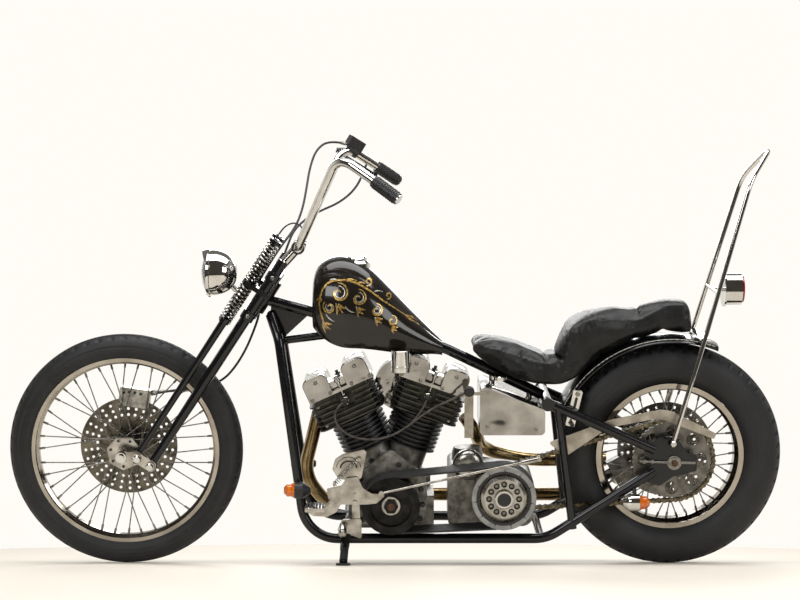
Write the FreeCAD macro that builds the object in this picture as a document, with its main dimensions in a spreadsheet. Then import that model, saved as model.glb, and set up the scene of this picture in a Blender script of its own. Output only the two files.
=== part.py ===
# Chopper motorcycle: rigid frame, springer fork, V-twin engine, open belt primary.
# Drawn upright, nose towards -X, left side towards -Y, wheels on the plane Z = 0,
# and leaned onto its side stand at the very end. All lengths are millimetres.
import FreeCAD, Part

import math
import os
import re

import Sketcher
from FreeCAD import Placement, Rotation, Vector

doc = FreeCAD.newDocument("Chopper")
sheet = doc.addObject("Spreadsheet::Sheet", "Dims")
ALIASES = set()


class Sizes:
    """Driving dimensions: each one is a cell of the sheet, read back by its name."""

    def add(self, **named):
        for alias, value in named.items():
            ALIASES.add(alias)
            row = len(ALIASES)
            sheet.set("A%d" % row, alias)
            sheet.set("B%d" % row, repr(float(value)))
            sheet.setAlias("B%d" % row, alias)
        doc.recompute()

    def __getattr__(self, alias):
        return float(sheet.get(alias))


D = Sizes()
X_AXIS = Vector(1, 0, 0)
Y_AXIS = Vector(0, 1, 0)
Z_AXIS = Vector(0, 0, 1)
nodes = {}


def value(expression):
    """Number that an expression of size names comes to."""
    return float(sheet.evalExpression(str(expression)))


def bound(expression):
    """The same expression with each size name pointing at the sheet."""
    word = re.compile(r"[a-z][a-z_0-9]*")
    return word.sub(lambda hit: "Dims." + hit.group() if hit.group() in ALIASES else hit.group(),
                    str(expression))


def set_sizes(thing, **expressions):
    for name, expression in expressions.items():
        thing.setExpression(name, bound(expression))


def node(label, thing, placement=Placement()):
    """Registers a document object as one named piece of the motorcycle."""
    thing.Label = label
    nodes[label] = (thing, placement)
    return thing


def shape_node(label, shape, placement=Placement()):
    thing = doc.addObject("Part::Feature", label)
    thing.Shape = shape
    return node(label, thing, placement)


def origin_plane(body, role):
    return [item for item in body.Origin.OriginFeatures if item.Role == role][0]


def add_sketch(body, role, name, offset="0"):
    sketch = body.newObject("Sketcher::SketchObject", name)
    sketch.AttachmentSupport = [(origin_plane(body, role), "")]
    sketch.MapMode = "FlatFace"
    if offset != "0":
        sketch.setExpression("AttachmentOffset.Base.z", bound(offset))
    return sketch


def fix_coordinate(sketch, kind, axis, curve, end, expression):
    if str(expression) == "0":
        sketch.addConstraint(Sketcher.Constraint("PointOnObject", curve, end, axis))
        return
    index = sketch.addConstraint(
        Sketcher.Constraint(kind, -1, 1, curve, end, value(expression)))
    sketch.setExpression("Constraints[%d]" % index, bound(expression))


def draw_outline(sketch, corners):
    """Closed polygon whose corners are pairs of size expressions."""
    places = [Vector(value(across), value(up), 0) for across, up in corners]
    first = sketch.GeometryCount
    count = len(places)
    for i in range(count):
        sketch.addGeometry(Part.LineSegment(places[i], places[(i + 1) % count]), False)
    for i in range(count):
        sketch.addConstraint(
            Sketcher.Constraint("Coincident", first + i, 2, first + (i + 1) % count, 1))
    for i, (across, up) in enumerate(corners):
        fix_coordinate(sketch, "DistanceX", -2, first + i, 1, across)
        fix_coordinate(sketch, "DistanceY", -1, first + i, 1, up)


def draw_circle(sketch, across, up, radius):
    centre = Vector(value(across), value(up), 0)
    curve = sketch.addGeometry(Part.Circle(centre, Z_AXIS, value(radius)), False)
    fix_coordinate(sketch, "DistanceX", -2, curve, 3, across)
    fix_coordinate(sketch, "DistanceY", -1, curve, 3, up)
    index = sketch.addConstraint(Sketcher.Constraint("Radius", curve, value(radius)))
    sketch.setExpression("Constraints[%d]" % index, bound(radius))


def new_body(label):
    return doc.addObject("PartDesign::Body", label)


def add_feature(body, kind, name, sketch, **expressions):
    feature = body.newObject("PartDesign::" + kind, name)
    feature.Profile = sketch
    for key, expression in expressions.items():
        feature.setExpression(key, bound(expression))
    sketch.Visibility = False
    return feature


def turned_body(label, corners):
    """Solid of revolution about Y from an outline of (place along Y, radius) pairs."""
    body = new_body(label)
    sketch = add_sketch(body, "YZ_Plane", label + "_profile")
    draw_outline(sketch, corners)
    turned = add_feature(body, "Revolution", label + "_turned", sketch)
    turned.ReferenceAxis = (sketch, ["H_Axis"])
    turned.Angle = 360
    return body


def polar_copies(body, feature, name, axis_role, count):
    pattern = body.newObject("PartDesign::PolarPattern", name)
    pattern.Originals = [feature]
    axis = [item for item in body.Origin.OriginFeatures if item.Role == axis_role][0]
    pattern.Axis = (axis, [""])
    pattern.Angle = 360
    pattern.setExpression("Occurrences", bound(count))
    body.Tip = pattern
    return pattern


def rod(start, end, radius):
    run = end - start
    return Part.makeCylinder(radius, run.Length, start, run)


def tapered_rod(start, end, start_radius, end_radius):
    run = end - start
    return Part.makeCone(start_radius, end_radius, run.Length, start, run)


def bent_path(points, radii):
    """Straight runs joined by tangent arcs; one bend radius for each inner point."""
    edges = []
    start = points[0]
    for i in range(1, len(points) - 1):
        back = (points[i - 1] - points[i]).normalize()
        ahead = (points[i + 1] - points[i]).normalize()
        half_turn = (math.pi - back.getAngle(ahead)) / 2
        trim = radii[i - 1] * math.tan(half_turn)
        first = points[i] + back * trim
        last = points[i] + ahead * trim
        bisector = (back + ahead).normalize()
        centre = points[i] + bisector * (radii[i - 1] / math.cos(half_turn))
        middle = centre - bisector * radii[i - 1]
        edges.append(Part.LineSegment(start, first).toShape())
        edges.append(Part.Arc(first, middle, last).toShape())
        start = last
    edges.append(Part.LineSegment(start, points[-1]).toShape())
    return Part.Wire(edges)


def bent_tube(points, radii, radius):
    path = bent_path(points, radii)
    ring = Part.Wire(Part.Circle(points[0], points[1] - points[0], radius).toShape())
    return path.makePipeShell([ring], True, False)


def cord_radii(points):
    """Largest even arcs for a cord: 0.45 of the shorter run at each inner point."""
    radii = []
    for i in range(1, len(points) - 1):
        back = points[i - 1] - points[i]
        ahead = points[i + 1] - points[i]
        half_turn = (math.pi - back.getAngle(ahead)) / 2
        radii.append(ARC_SHARE * min(back.Length, ahead.Length) / math.tan(half_turn))
    return radii


ARC_SHARE = 0.45


def cord(label, points, radius):
    radii = cord_radii(points)
    solid = bent_tube(points, radii, radius)
    path = bent_path(points, radii)
    drift = abs(solid.Volume / (math.pi * radius ** 2 * path.Length) - 1)
    print(label, "length %.0f, least arc %.0f, volume drift %.5f"
          % (path.Length, min(radii), drift))
    return solid


def rounded_outline(corners, radii):
    """Closed wire in the XZ plane with a fillet of the given radius at each corner."""
    count = len(corners)
    edges = []
    ends = []
    for i in range(count):
        corner = corners[i]
        back = (corners[i - 1] - corner).normalize()
        ahead = (corners[(i + 1) % count] - corner).normalize()
        if radii[i] == 0:
            ends.append((corner, corner))
            continue
        half_turn = (math.pi - back.getAngle(ahead)) / 2
        trim = radii[i] * math.tan(half_turn)
        bisector = (back + ahead).normalize()
        centre = corner + bisector * (radii[i] / math.cos(half_turn))
        first = corner + back * trim
        last = corner + ahead * trim
        edges.append(Part.Arc(first, centre - bisector * radii[i], last).toShape())
        ends.append((first, last))
    for i in range(count):
        start = ends[i][1]
        end = ends[(i + 1) % count][0]
        if start.distanceToPoint(end) > 1e-6:
            edges.append(Part.LineSegment(start, end).toShape())
    return Part.Wire(Part.__sortEdges__(edges))


def side_plate(corners, radii, near, far):
    """Plate with a rounded outline in the XZ plane, from Y = near to Y = far."""
    wire = rounded_outline([Vector(across, near, up) for across, up in corners], radii)
    return Part.Face(wire).extrude(Vector(0, far - near, 0))


def side_disc(centre, radius, near, far):
    return Part.makeCylinder(radius, far - near, Vector(centre.x, near, centre.z), Y_AXIS)


def box_between(low, high):
    size = high - low
    return Part.makeBox(size.x, size.y, size.z, low)


def hexagon(centre, across_corners, near, far):
    corners = []
    for i in range(7):
        turn = math.radians(60 * i)
        corners.append(Vector(centre.x + across_corners * math.cos(turn), near,
                              centre.z + across_corners * math.sin(turn)))
    return Part.Face(Part.makePolygon(corners)).extrude(Vector(0, far - near, 0))


# Overall layout
D.add(wheelbase=1610, front_tyre_r=346, rear_tyre_r=333, rake=33.2, lean=14,
      neck_x=-372, neck_z=832, running_gap=0.3, overrun=20)

FRONT_AXLE = Vector(-D.wheelbase / 2, 0, D.front_tyre_r)
REAR_AXLE = Vector(D.wheelbase / 2, 0, D.rear_tyre_r)
NECK = Vector(D.neck_x, 0, D.neck_z)
AT_FRONT_AXLE = Placement(FRONT_AXLE, Rotation())
AT_REAR_AXLE = Placement(REAR_AXLE, Rotation())
AT_NECK = Placement(NECK, Rotation(Y_AXIS, D.rake))


def fork_point(back, side, up):
    """Point given in the steering axis' own directions, in bike directions."""
    return AT_NECK.multVec(Vector(back, side, up))


def to_fork(point):
    """Point given in bike directions, in the steering axis' own directions."""
    return AT_NECK.inverse().multVec(point)


# Wheels: wire wheels, 21 inch in front and 16 inch behind
D.add(front_tyre_section=40, rear_tyre_section=62.5, tyre_wall=9,
      front_bead_r=273, rear_bead_r=205,
      front_rim_half=27, front_flange_r=281.5, rim_wall=3, rim_lip=6,
      rear_rim_half=43, rear_flange_r=218, rim_drop=20, rim_well_share=0.42,
      spoke_count=40, spoke_r=1.8, spoke_cross_deg=58, spoke_row_gap=5, spoke_end_gap=0.8)


def make_tyre(end, tyre_r):
    """Round-section tyre: a hollow ring, opened on the inside where the rim sits."""
    section = end + "_tyre_section"
    crown = "%s - %s" % (tyre_r, section)
    outer = doc.addObject("Part::Torus", end + "_tyre_outer")
    set_sizes(outer, Radius1=crown, Radius2=section)
    inner = doc.addObject("Part::Torus", end + "_tyre_air")
    set_sizes(inner, Radius1=crown, Radius2=section + " - tyre_wall")
    mouth = doc.addObject("Part::Cylinder", end + "_tyre_mouth")
    set_sizes(mouth, Radius=end + "_flange_r + running_gap", Height="2 * " + section)
    mouth.setExpression("Placement.Base.z", bound("-" + section))
    hollow = doc.addObject("Part::Cut", end + "_tyre_hollow")
    hollow.Base = outer
    hollow.Tool = inner
    tyre = doc.addObject("Part::Cut", end + "_tyre_open")
    tyre.Base = hollow
    tyre.Tool = mouth
    return tyre


def make_rim(end):
    """Stepped rim with rolled edges and a drop centre."""
    half = end + "_rim_half"
    flange = end + "_flange_r"
    well = half + " * rim_well_share"
    seat = "%s - rim_lip * 2" % flange
    floor = "%s - rim_drop" % flange
    corners = [
        ("-" + half, flange), ("-%s + rim_wall" % half, flange),
        ("-%s + rim_wall" % half, seat), ("-" + well, seat),
        ("-%s + rim_lip" % well, floor), (well + " - rim_lip", floor),
        (well, seat), (half + " - rim_wall", seat),
        (half + " - rim_wall", flange), (half, flange),
        (half, seat + " - rim_wall"), (well + " + rim_wall", seat + " - rim_wall"),
        (well + " - rim_wall", floor + " - rim_wall"),
        ("-%s + rim_wall" % well, floor + " - rim_wall"),
        ("-%s - rim_wall" % well, seat + " - rim_wall"),
        ("-" + half, seat + " - rim_wall")]
    return turned_body(end + "_rim", corners)


TURN_TO_SIDE = Rotation(X_AXIS, 90)

node("front_tyre", make_tyre("front", "front_tyre_r"), Placement(FRONT_AXLE, TURN_TO_SIDE))
node("rear_tyre", make_tyre("rear", "rear_tyre_r"), Placement(REAR_AXLE, TURN_TO_SIDE))
node("front_rim", make_rim("front"), AT_FRONT_AXLE)
node("rear_rim", make_rim("rear"), AT_REAR_AXLE)

# Hubs: turned barrels with two flanges, bored for the axle, spokes laced tangentially
D.add(axle_r=10, bearing_gap=0.4, front_hub_half=52, front_hub_r=26, front_flange_half=34,
      front_hub_flange_r=44, hub_flange_thick=7, front_disc_seat_r=38,
      rear_hub_half=66, rear_hub_r=30, rear_flange_half=38, rear_hub_flange_r=52,
      rear_disc_seat_r=50)


def hub_corners(end):
    half = end + "_hub_half"
    barrel = end + "_hub_r"
    flange = end + "_flange_half"
    flange_r = end + "_hub_flange_r"
    seat_r = end + "_disc_seat_r"
    bore = "axle_r + bearing_gap"
    return [
        ("-" + half, bore), (half, bore), (half, seat_r), (flange, seat_r), (flange, flange_r),
        (flange + " - hub_flange_thick", flange_r), (flange + " - hub_flange_thick", barrel),
        ("-%s + hub_flange_thick" % flange, barrel),
        ("-%s + hub_flange_thick" % flange, flange_r), ("-" + flange, flange_r),
        ("-" + flange, seat_r), ("-" + half, seat_r)]


def lace_wheel(hub_flange_r, hub_place, rim_r):
    """Tangential spokes from both hub flanges to the floor of the rim."""
    spokes = []
    count = int(D.spoke_count)
    step = 360.0 / count
    for i in range(count):
        side = -1 if i % 2 else 1
        lead = 1 if (i // 2) % 2 else -1
        row = hub_place - D.hub_flange_thick / 2
        stagger = D.hub_flange_thick / 2 - 1.1 * D.spoke_r
        rim_turn = Rotation(Y_AXIS, i * step)
        hub_turn = Rotation(Y_AXIS, i * step + lead * D.spoke_cross_deg)
        inner_r = hub_flange_r - D.hub_flange_thick
        start = hub_turn.multVec(Vector(0, side * row + lead * stagger, inner_r))
        end = rim_turn.multVec(Vector(0, side * D.spoke_row_gap, rim_r))
        spokes.append(rod(start, end, D.spoke_r))
    return spokes


def make_hub(end):
    """Hub with its spokes, which end in the floor of the rim."""
    hub = turned_body(end + "_hub_barrel", hub_corners(end))
    doc.recompute()
    rim_r = value(end + "_flange_r - rim_drop - rim_wall - spoke_end_gap")
    solid = hub.Shape.copy()
    spokes = lace_wheel(value(end + "_hub_flange_r"), value(end + "_flange_half"), rim_r)
    return solid.multiFuse(spokes)


shape_node("front_hub", make_hub("front"), AT_FRONT_AXLE)
shape_node("rear_hub", make_hub("rear"), AT_REAR_AXLE)

# Brake discs: drilled rings, the front one on the right, the rear one on the right too
D.add(disc_thick=5, front_disc_r=145, rear_disc_r=143, disc_hole_r=4.5, disc_hole_count=30, disc_row=14, disc_sleeve=10, front_disc_place=46, rear_disc_place=60)


def make_disc(end):
    """Flat ring with two rows of through holes, drilled by a polar pattern."""
    body = new_body(end + "_disc_body")
    place = end + "_disc_place"
    outline = add_sketch(body, "XZ_Plane", end + "_disc_outline", "-" + place)
    draw_circle(outline, "0", "0", end + "_disc_r")
    draw_circle(outline, "0", "0", end + "_disc_seat_r + running_gap")
    plate = add_feature(body, "Pad", end + "_disc_plate", outline, Length="disc_thick")
    plate.Reversed = True
    flange = end + "_flange_half"
    collar = add_sketch(body, "XZ_Plane", end + "_disc_collar", "-" + flange)
    draw_circle(collar, "0", "0", end + "_disc_seat_r + running_gap")
    draw_circle(collar, "0", "0", end + "_disc_seat_r + disc_sleeve")
    sleeve = add_feature(body, "Pad", end + "_disc_sleeve", collar,
                         Length="%s - %s" % (place, flange))
    sleeve.Reversed = True
    doc.recompute()
    holes = add_sketch(body, "XZ_Plane", end + "_disc_holes", "-%s - disc_thick" % place)
    for row in (1, 2.3, 3.6):
        draw_circle(holes, "0", "%s_disc_r - disc_row * %s" % (end, row), "disc_hole_r")
    drilled = add_feature(body, "Pocket", end + "_disc_drilled", holes, Length="2 * disc_thick")
    drilled.Midplane = True
    doc.recompute()
    polar_copies(body, drilled, end + "_disc_ring", "Y_Axis", "disc_hole_count")
    return body


node("front_disc", make_disc("front"), AT_FRONT_AXLE)
node("rear_disc", make_disc("rear"), AT_REAR_AXLE)

# Rear sprocket: 48 teeth for a 15.875 mm pitch chain, eight lightening holes
D.add(chain_pitch=15.875, rear_teeth=48, front_teeth=24, sprocket_thick=8, roller_r=5,
      tooth_drop=3, sprocket_place=-86, sprocket_bore=51.5, sprocket_hole_r=19,
      sprocket_hole_ring=84, sprocket_holes=8)


def pitch_radius(teeth):
    return D.chain_pitch / (2 * math.sin(math.pi / teeth))


def sprocket_shape(teeth, bore):
    """Toothed disc: its tips stay below the rollers so that the loop stands clear."""
    outer = pitch_radius(teeth) - D.roller_r - D.running_gap * 2
    root = outer - D.tooth_drop
    points = []
    for i in range(int(teeth)):
        for share, reach in ((0.0, root), (0.3, root), (0.45, outer), (0.85, outer)):
            turn = 2 * math.pi * (i + share) / teeth
            points.append(Vector(reach * math.cos(turn), 0, reach * math.sin(turn)))
    disc = Part.Face(Part.makePolygon(points + [points[0]]))
    solid = disc.extrude(Vector(0, D.sprocket_thick, 0))
    return solid.cut(side_disc(Vector(), bore, -D.overrun, D.overrun))


rear_sprocket = sprocket_shape(D.rear_teeth, D.sprocket_bore)
for i in range(int(D.sprocket_holes)):
    turn = Rotation(Y_AXIS, 360.0 * i / D.sprocket_holes)
    hole = turn.multVec(Vector(D.sprocket_hole_ring, 0, 0))
    rear_sprocket = rear_sprocket.cut(
        side_disc(hole, D.sprocket_hole_r, -D.overrun, D.overrun))
spacer = side_disc(Vector(), D.rear_hub_flange_r + D.spoke_row_gap, 0,
                   -D.rear_hub_half - D.sprocket_place - D.sprocket_thick)
spacer.translate(Vector(0, D.sprocket_thick, 0))
spacer = spacer.cut(side_disc(Vector(), D.axle_r + D.bearing_gap, -D.overrun, 4 * D.overrun))
plug = side_disc(Vector(), D.sprocket_bore, 0, D.sprocket_thick)
plug = plug.cut(side_disc(Vector(), D.axle_r + D.bearing_gap, -D.overrun, D.overrun))
rear_sprocket = rear_sprocket.multiFuse([spacer, plug])
shape_node("rear_sprocket", rear_sprocket.removeSplitter(),
           Placement(REAR_AXLE + Vector(0, D.sprocket_place, 0), Rotation()))

# Springer fork, drawn along the steering axis: Z up the stem, X to the rear
D.add(leg_side=88, leg_back=-10.6, spring_back=-60, leg_low=-621, leg_top=96,
      leg_low_r=12, leg_high_r=15.5, leg_taper_up=-300, eye_r=19, eye_half=10, spring_leg_low_r=9,
      spring_leg_high_r=12, spring_leg_top=-150, yoke_low=-150, yoke_high=-136, yoke_half=13,
      axle_back=-96.2, axle_up=-643.8, stem_r=14, neck_low=-80, neck_high=26,
      tree_thick=26, tree_half_deep=20, top_tree_thick=28, perch_low=-22, perch_high=-8,
      bridge_half=11, spring_side=58, spring_r=19, spring_wire_r=3.4, spring_bar_r=7, lower_coils=8,
      upper_coils=9, upper_spring_top=122, pin_r=7, rocker_near=100.5, rocker_thick=9,
      rocker_end_r=17, axle_end=131, axle_nut_r=15, axle_nut_thick=11)

FRONT_AXLE_IN_FORK = to_fork(FRONT_AXLE)


def both_sides(maker):
    """Left and right copy of one piece of the fork."""
    return Part.makeCompound([maker(-1), maker(1)])


def leg_bar(side, grow):
    """Bare bar of a rigid leg, thicker by the given amount."""
    foot = Vector(D.leg_back, side * D.leg_side, D.leg_low)
    knee = Vector(D.leg_back, side * D.leg_side, D.leg_taper_up)
    head = Vector(D.leg_back, side * D.leg_side, D.leg_top)
    taper = tapered_rod(foot, knee, D.leg_low_r + grow, D.leg_high_r + grow)
    return taper.fuse(rod(knee, head, D.leg_high_r + grow))


def rigid_leg(side):
    """Rigid leg: a round tube, tapered below, with a pivot eye at its foot."""
    foot = Vector(D.leg_back, side * D.leg_side, D.leg_low)
    leg = leg_bar(side, 0)
    eye = side_disc(foot, D.eye_r, foot.y - D.eye_half, foot.y + D.eye_half)
    leg = leg.fuse(eye)
    return leg.cut(side_disc(foot, D.pin_r, foot.y - D.overrun, foot.y + D.overrun))


def spring_leg(side):
    """Sprung leg: slimmer, in front of the rigid one, with its half of the spring yoke."""
    foot = Vector(D.spring_back, side * D.leg_side, D.leg_low)
    head = Vector(D.spring_back, side * D.leg_side, D.spring_leg_top)
    leg = tapered_rod(foot, head, D.spring_leg_low_r, D.spring_leg_high_r)
    eye = side_disc(foot, D.spring_leg_high_r + D.spring_wire_r,
                    foot.y - D.eye_half, foot.y + D.eye_half)
    yoke = Part.makeCylinder(D.leg_high_r, D.yoke_high - D.yoke_low,
                             Vector(D.spring_back, side * D.leg_side, D.yoke_low))
    perch = Part.makeCylinder(D.spring_r, D.yoke_high - D.yoke_low,
                              Vector(D.spring_back, side * D.spring_side, D.yoke_low))
    bridge_y = min(side * D.leg_side, 0)
    bridge = Part.makeBox(2 * D.yoke_half, D.leg_side - D.running_gap, D.yoke_high - D.yoke_low,
                          Vector(D.spring_back - D.yoke_half,
                                 bridge_y if side < 0 else D.running_gap, D.yoke_low))
    bar = Part.makeCylinder(D.spring_bar_r, D.upper_spring_top - D.yoke_high + D.eye_half,
                            Vector(D.spring_back, side * D.spring_side, D.yoke_high))
    cap = Part.makeCylinder(D.spring_r, D.eye_half,
                            Vector(D.spring_back, side * D.spring_side, D.upper_spring_top))
    leg = leg.multiFuse([eye, yoke, perch, bridge, bar, cap])
    return leg.cut(side_disc(foot, D.pin_r, foot.y - D.overrun, foot.y + D.overrun))


def stacked_spring(side, low, high, coils):
    """Coil spring as closed wound rings round its bar."""
    centre = Vector(D.spring_back, side * D.spring_side, 0)
    pitch = (high - low) / coils
    middle = D.spring_r - D.spring_wire_r
    points = [Vector(D.spring_bar_r + D.running_gap, 0, low)]
    for i in range(int(coils)):
        base = low + i * pitch
        points.append(Vector(middle, 0, base))
        points.append(Vector(D.spring_r, 0, base + pitch / 4))
        points.append(Vector(D.spring_r, 0, base + 3 * pitch / 4))
    points.append(Vector(middle, 0, high))
    points.append(Vector(D.spring_bar_r + D.running_gap, 0, high))
    face = Part.Face(Part.makePolygon(points + [points[0]]))
    spring = face.revolve(Vector(), Z_AXIS, 360)
    spring.translate(centre)
    return spring


def make_springs():
    springs = []
    for side in (-1, 1):
        springs.append(stacked_spring(side, D.yoke_high + D.running_gap,
                                      D.perch_low - D.running_gap, D.lower_coils))
        springs.append(stacked_spring(side, D.perch_high + D.running_gap,
                                      D.upper_spring_top - D.running_gap, D.upper_coils))
    return Part.makeCompound(springs)


def tree(low, high, front):
    """Fork crown: a rounded bridge across both rigid legs and the stem."""
    width = 2 * (D.leg_side + D.tree_half_deep)
    slab = Part.makeBox(2 * D.tree_half_deep + front, width, high - low,
                        Vector(D.leg_back - D.tree_half_deep - front, -width / 2, low))
    upright = [edge for edge in slab.Edges
               if abs(edge.BoundBox.ZLength - (high - low)) < D.running_gap]
    return slab.makeFillet(D.leg_high_r, upright)


def make_steering_trees():
    """Lower and upper crowns, the stem through the neck and the bridge between the springs."""
    lower = tree(D.neck_low - D.running_gap - D.tree_thick, D.neck_low - D.running_gap, 0)
    upper = tree(D.neck_high + D.running_gap, D.neck_high + D.top_tree_thick, 0)
    stem_foot = D.neck_low - D.tree_thick
    stem = Part.makeCylinder(D.stem_r, D.neck_high + D.top_tree_thick - stem_foot,
                             Vector(0, 0, stem_foot))
    thick = D.perch_high - D.perch_low
    front = D.spring_back - D.bridge_half
    beam = Part.makeBox(2 * D.bridge_half, 2 * D.leg_side, thick,
                        Vector(front, -D.leg_side, D.perch_low))
    cheeks = []
    for side in (-1, 1):
        cheeks.append(Part.makeBox(
            D.leg_back + D.tree_half_deep - front, 2 * D.tree_half_deep, thick,
            Vector(front, side * D.leg_side - D.tree_half_deep, D.perch_low)))
        cheeks.append(Part.makeCylinder(D.spring_r, thick, Vector(
            D.spring_back, side * D.spring_side, D.perch_low)))
    body = lower.multiFuse([upper, stem])
    bridge = beam.multiFuse(cheeks)
    for side in (-1, 1):
        bridge = bridge.cut(Part.makeCylinder(
            D.spring_bar_r + D.running_gap, 2 * D.overrun,
            Vector(D.spring_back, side * D.spring_side, D.perch_low - D.overrun / 2)))
    both = Part.makeCompound([body, bridge])
    for side in (-1, 1):
        both = both.cut(leg_bar(side, 0))
    return both


def make_rocker(side):
    """Cranked link from the rigid leg's pivot past the sprung leg to the wheel axle."""
    places = [Vector(D.leg_back, 0, D.leg_low), Vector(D.spring_back, 0, D.leg_low),
              FRONT_AXLE_IN_FORK]
    near = side * D.rocker_near
    far = side * (D.rocker_near + D.rocker_thick)
    low, high = min(near, far), max(near, far)
    discs = [side_disc(place, D.rocker_end_r, low, high) for place in places]
    webs = []
    for first, second in ((0, 1), (1, 2)):
        run = places[second] - places[first]
        square = Vector(run.z, 0, -run.x).normalize() * (D.rocker_end_r * 0.9)
        corners = [places[first] + square, places[second] + square,
                   places[second] - square, places[first] - square]
        face = Part.Face(Part.makePolygon(
            [Vector(c.x, low, c.z) for c in corners + [corners[0]]]))
        webs.append(face.extrude(Vector(0, high - low, 0)))
    pins = [side_disc(place, D.pin_r, min(side * (D.leg_side - D.eye_half), far),
                      max(side * (D.leg_side - D.eye_half), far)) for place in places[:2]]
    caps = [side_disc(place, D.eye_r * 0.7, min(far, far + side * D.pin_r),
                      max(far, far + side * D.pin_r)) for place in places[:2]]
    link = discs[0].multiFuse(discs[1:] + webs + pins + caps)
    return link.cut(side_disc(FRONT_AXLE_IN_FORK, D.axle_r, low - D.overrun, high + D.overrun))


def make_front_axle():
    """Axle with nuts outside the rockers and spacers between rocker and hub."""
    place = FRONT_AXLE_IN_FORK
    axle = side_disc(place, D.axle_r, -D.axle_end, D.axle_end)
    extras = []
    for side in (-1, 1):
        outer = side * (D.rocker_near + D.rocker_thick)
        nut_end = outer + side * D.axle_nut_thick
        extras.append(side_disc(place, D.axle_nut_r, min(outer, nut_end), max(outer, nut_end)))
        hub_end = side * (D.front_hub_half + D.bearing_gap)
        inner = side * (D.rocker_near - D.running_gap)
        extras.append(side_disc(place, D.axle_nut_r, min(hub_end, inner), max(hub_end, inner)))
    return axle.multiFuse(extras)


TREES = make_steering_trees()
shape_node("fork_legs", both_sides(rigid_leg), AT_NECK)
shape_node("spring_legs", both_sides(spring_leg), AT_NECK)
shape_node("fork_springs", make_springs(), AT_NECK)
shape_node("steering_trees", TREES, AT_NECK)
shape_node("fork_rockers", both_sides(make_rocker), AT_NECK)
shape_node("front_axle", make_front_axle(), AT_NECK)

# Headlamp: bullet shell with a visor, level when the motorcycle stands upright
D.add(lamp_x=-510, lamp_z=872, lamp_r=71, lamp_front=-566, lamp_back=-470, lamp_rim_thick=12,
      lamp_wall=3, lens_thick=8, lamp_visor=18, lamp_stalk_r=8)

AT_LAMP = Placement(Vector(0, 0, D.lamp_z), Rotation())


def make_headlamp():
    """Hollow turned shell, open in front, on a stalk to the lower crown's spring perch."""
    depth = D.lamp_back - D.lamp_front
    outer = [Vector(D.lamp_front, 0, D.lamp_r), Vector(D.lamp_front + D.lamp_rim_thick, 0, D.lamp_r),
             Vector(D.lamp_front + 0.45 * depth, 0, 0.93 * D.lamp_r),
             Vector(D.lamp_front + 0.78 * depth, 0, 0.66 * D.lamp_r),
             Vector(D.lamp_back, 0, 0)]
    curve = Part.BSplineCurve()
    curve.interpolate(outer[1:], InitialTangent=Vector(1, 0, 0), FinalTangent=Vector(0, 0, -1))
    edges = [Part.LineSegment(outer[0], outer[1]).toShape(), curve.toShape(),
             Part.LineSegment(outer[-1], Vector(D.lamp_front, 0, 0)).toShape(),
             Part.LineSegment(Vector(D.lamp_front, 0, 0), outer[0]).toShape()]
    solid = Part.Face(Part.Wire(edges)).revolve(Vector(), X_AXIS, 360)
    bowl = Part.makeCone(D.lamp_r - D.lamp_wall, 0.35 * D.lamp_r, 0.72 * depth,
                         Vector(D.lamp_front + D.lens_thick + D.running_gap, 0, 0), X_AXIS)
    mouth = Part.makeCylinder(D.lamp_r - D.lamp_wall, D.lens_thick + D.running_gap + 1,
                              Vector(D.lamp_front - 1, 0, 0), X_AXIS)
    reach = 2 * D.lamp_r
    visor = Part.makeCylinder(D.lamp_r, D.lamp_visor + D.lens_thick,
                              Vector(D.lamp_front - D.lamp_visor, 0, 0), X_AXIS)
    visor = visor.cut(Part.makeCylinder(D.lamp_r - D.lamp_wall, reach,
                                        Vector(D.lamp_front - reach / 2, 0, 0), X_AXIS))
    visor = visor.common(box_between(Vector(D.lamp_front - reach, -reach, D.lamp_r / 4),
                                     Vector(D.lamp_back, reach, reach)))
    bridge = fork_point(D.spring_back, 0, (D.perch_low + D.perch_high) / 2)
    stalk = rod(Vector(D.lamp_back - D.lamp_stalk_r, 0, 0),
                Vector(bridge.x, 0, bridge.z - D.lamp_z), D.lamp_stalk_r)
    trees = TREES.copy()
    trees.Placement = AT_LAMP.inverse().multiply(AT_NECK)
    return solid.cut(bowl).cut(mouth).multiFuse([visor, stalk.cut(trees)])


def make_lamp_lens():
    radius = D.lamp_r - D.lamp_wall - D.running_gap
    lens = Part.makeCylinder(radius, D.lens_thick / 2,
                             Vector(D.lamp_front + D.lens_thick / 2, 0, 0), X_AXIS)
    dome = Part.makeCone(0.7 * radius, radius, D.lens_thick / 2,
                         Vector(D.lamp_front, 0, 0), X_AXIS)
    return lens.fuse(dome)


shape_node("headlamp_shell", make_headlamp(), AT_LAMP)
shape_node("headlamp_lens", make_lamp_lens(), AT_LAMP)

# Handlebar, its clamp and everything on it
D.add(bar_r=12.7, riser_r=14, riser_side=30, clamp_up=146, clamp_half=14, clamp_back=4,
      bar_rise_x=-163, bar_rise_side=262, bar_rise_z=1232, bar_bend_r=55, bar_clamp_bend_r=40,
      grip_x=-80, grip_side=305, grip_z=1177, bar_end_x=-2, bar_end_side=345, bar_end_z=1122,
      grip_r=17, bar_plug_r=15, bar_plug_long=6)

CLAMP = fork_point(D.clamp_back, 0, D.clamp_up)


def bar_points(side):
    """Half of the bar's centre line, from the clamp to the grip's end."""
    return [Vector(CLAMP.x, 0, CLAMP.z), Vector(CLAMP.x, side * D.riser_side * 2.5, CLAMP.z),
            Vector(D.bar_rise_x, side * D.bar_rise_side, D.bar_rise_z),
            Vector(D.grip_x, side * D.grip_side, D.grip_z),
            Vector(D.bar_end_x, side * D.bar_end_side, D.bar_end_z)]


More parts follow.
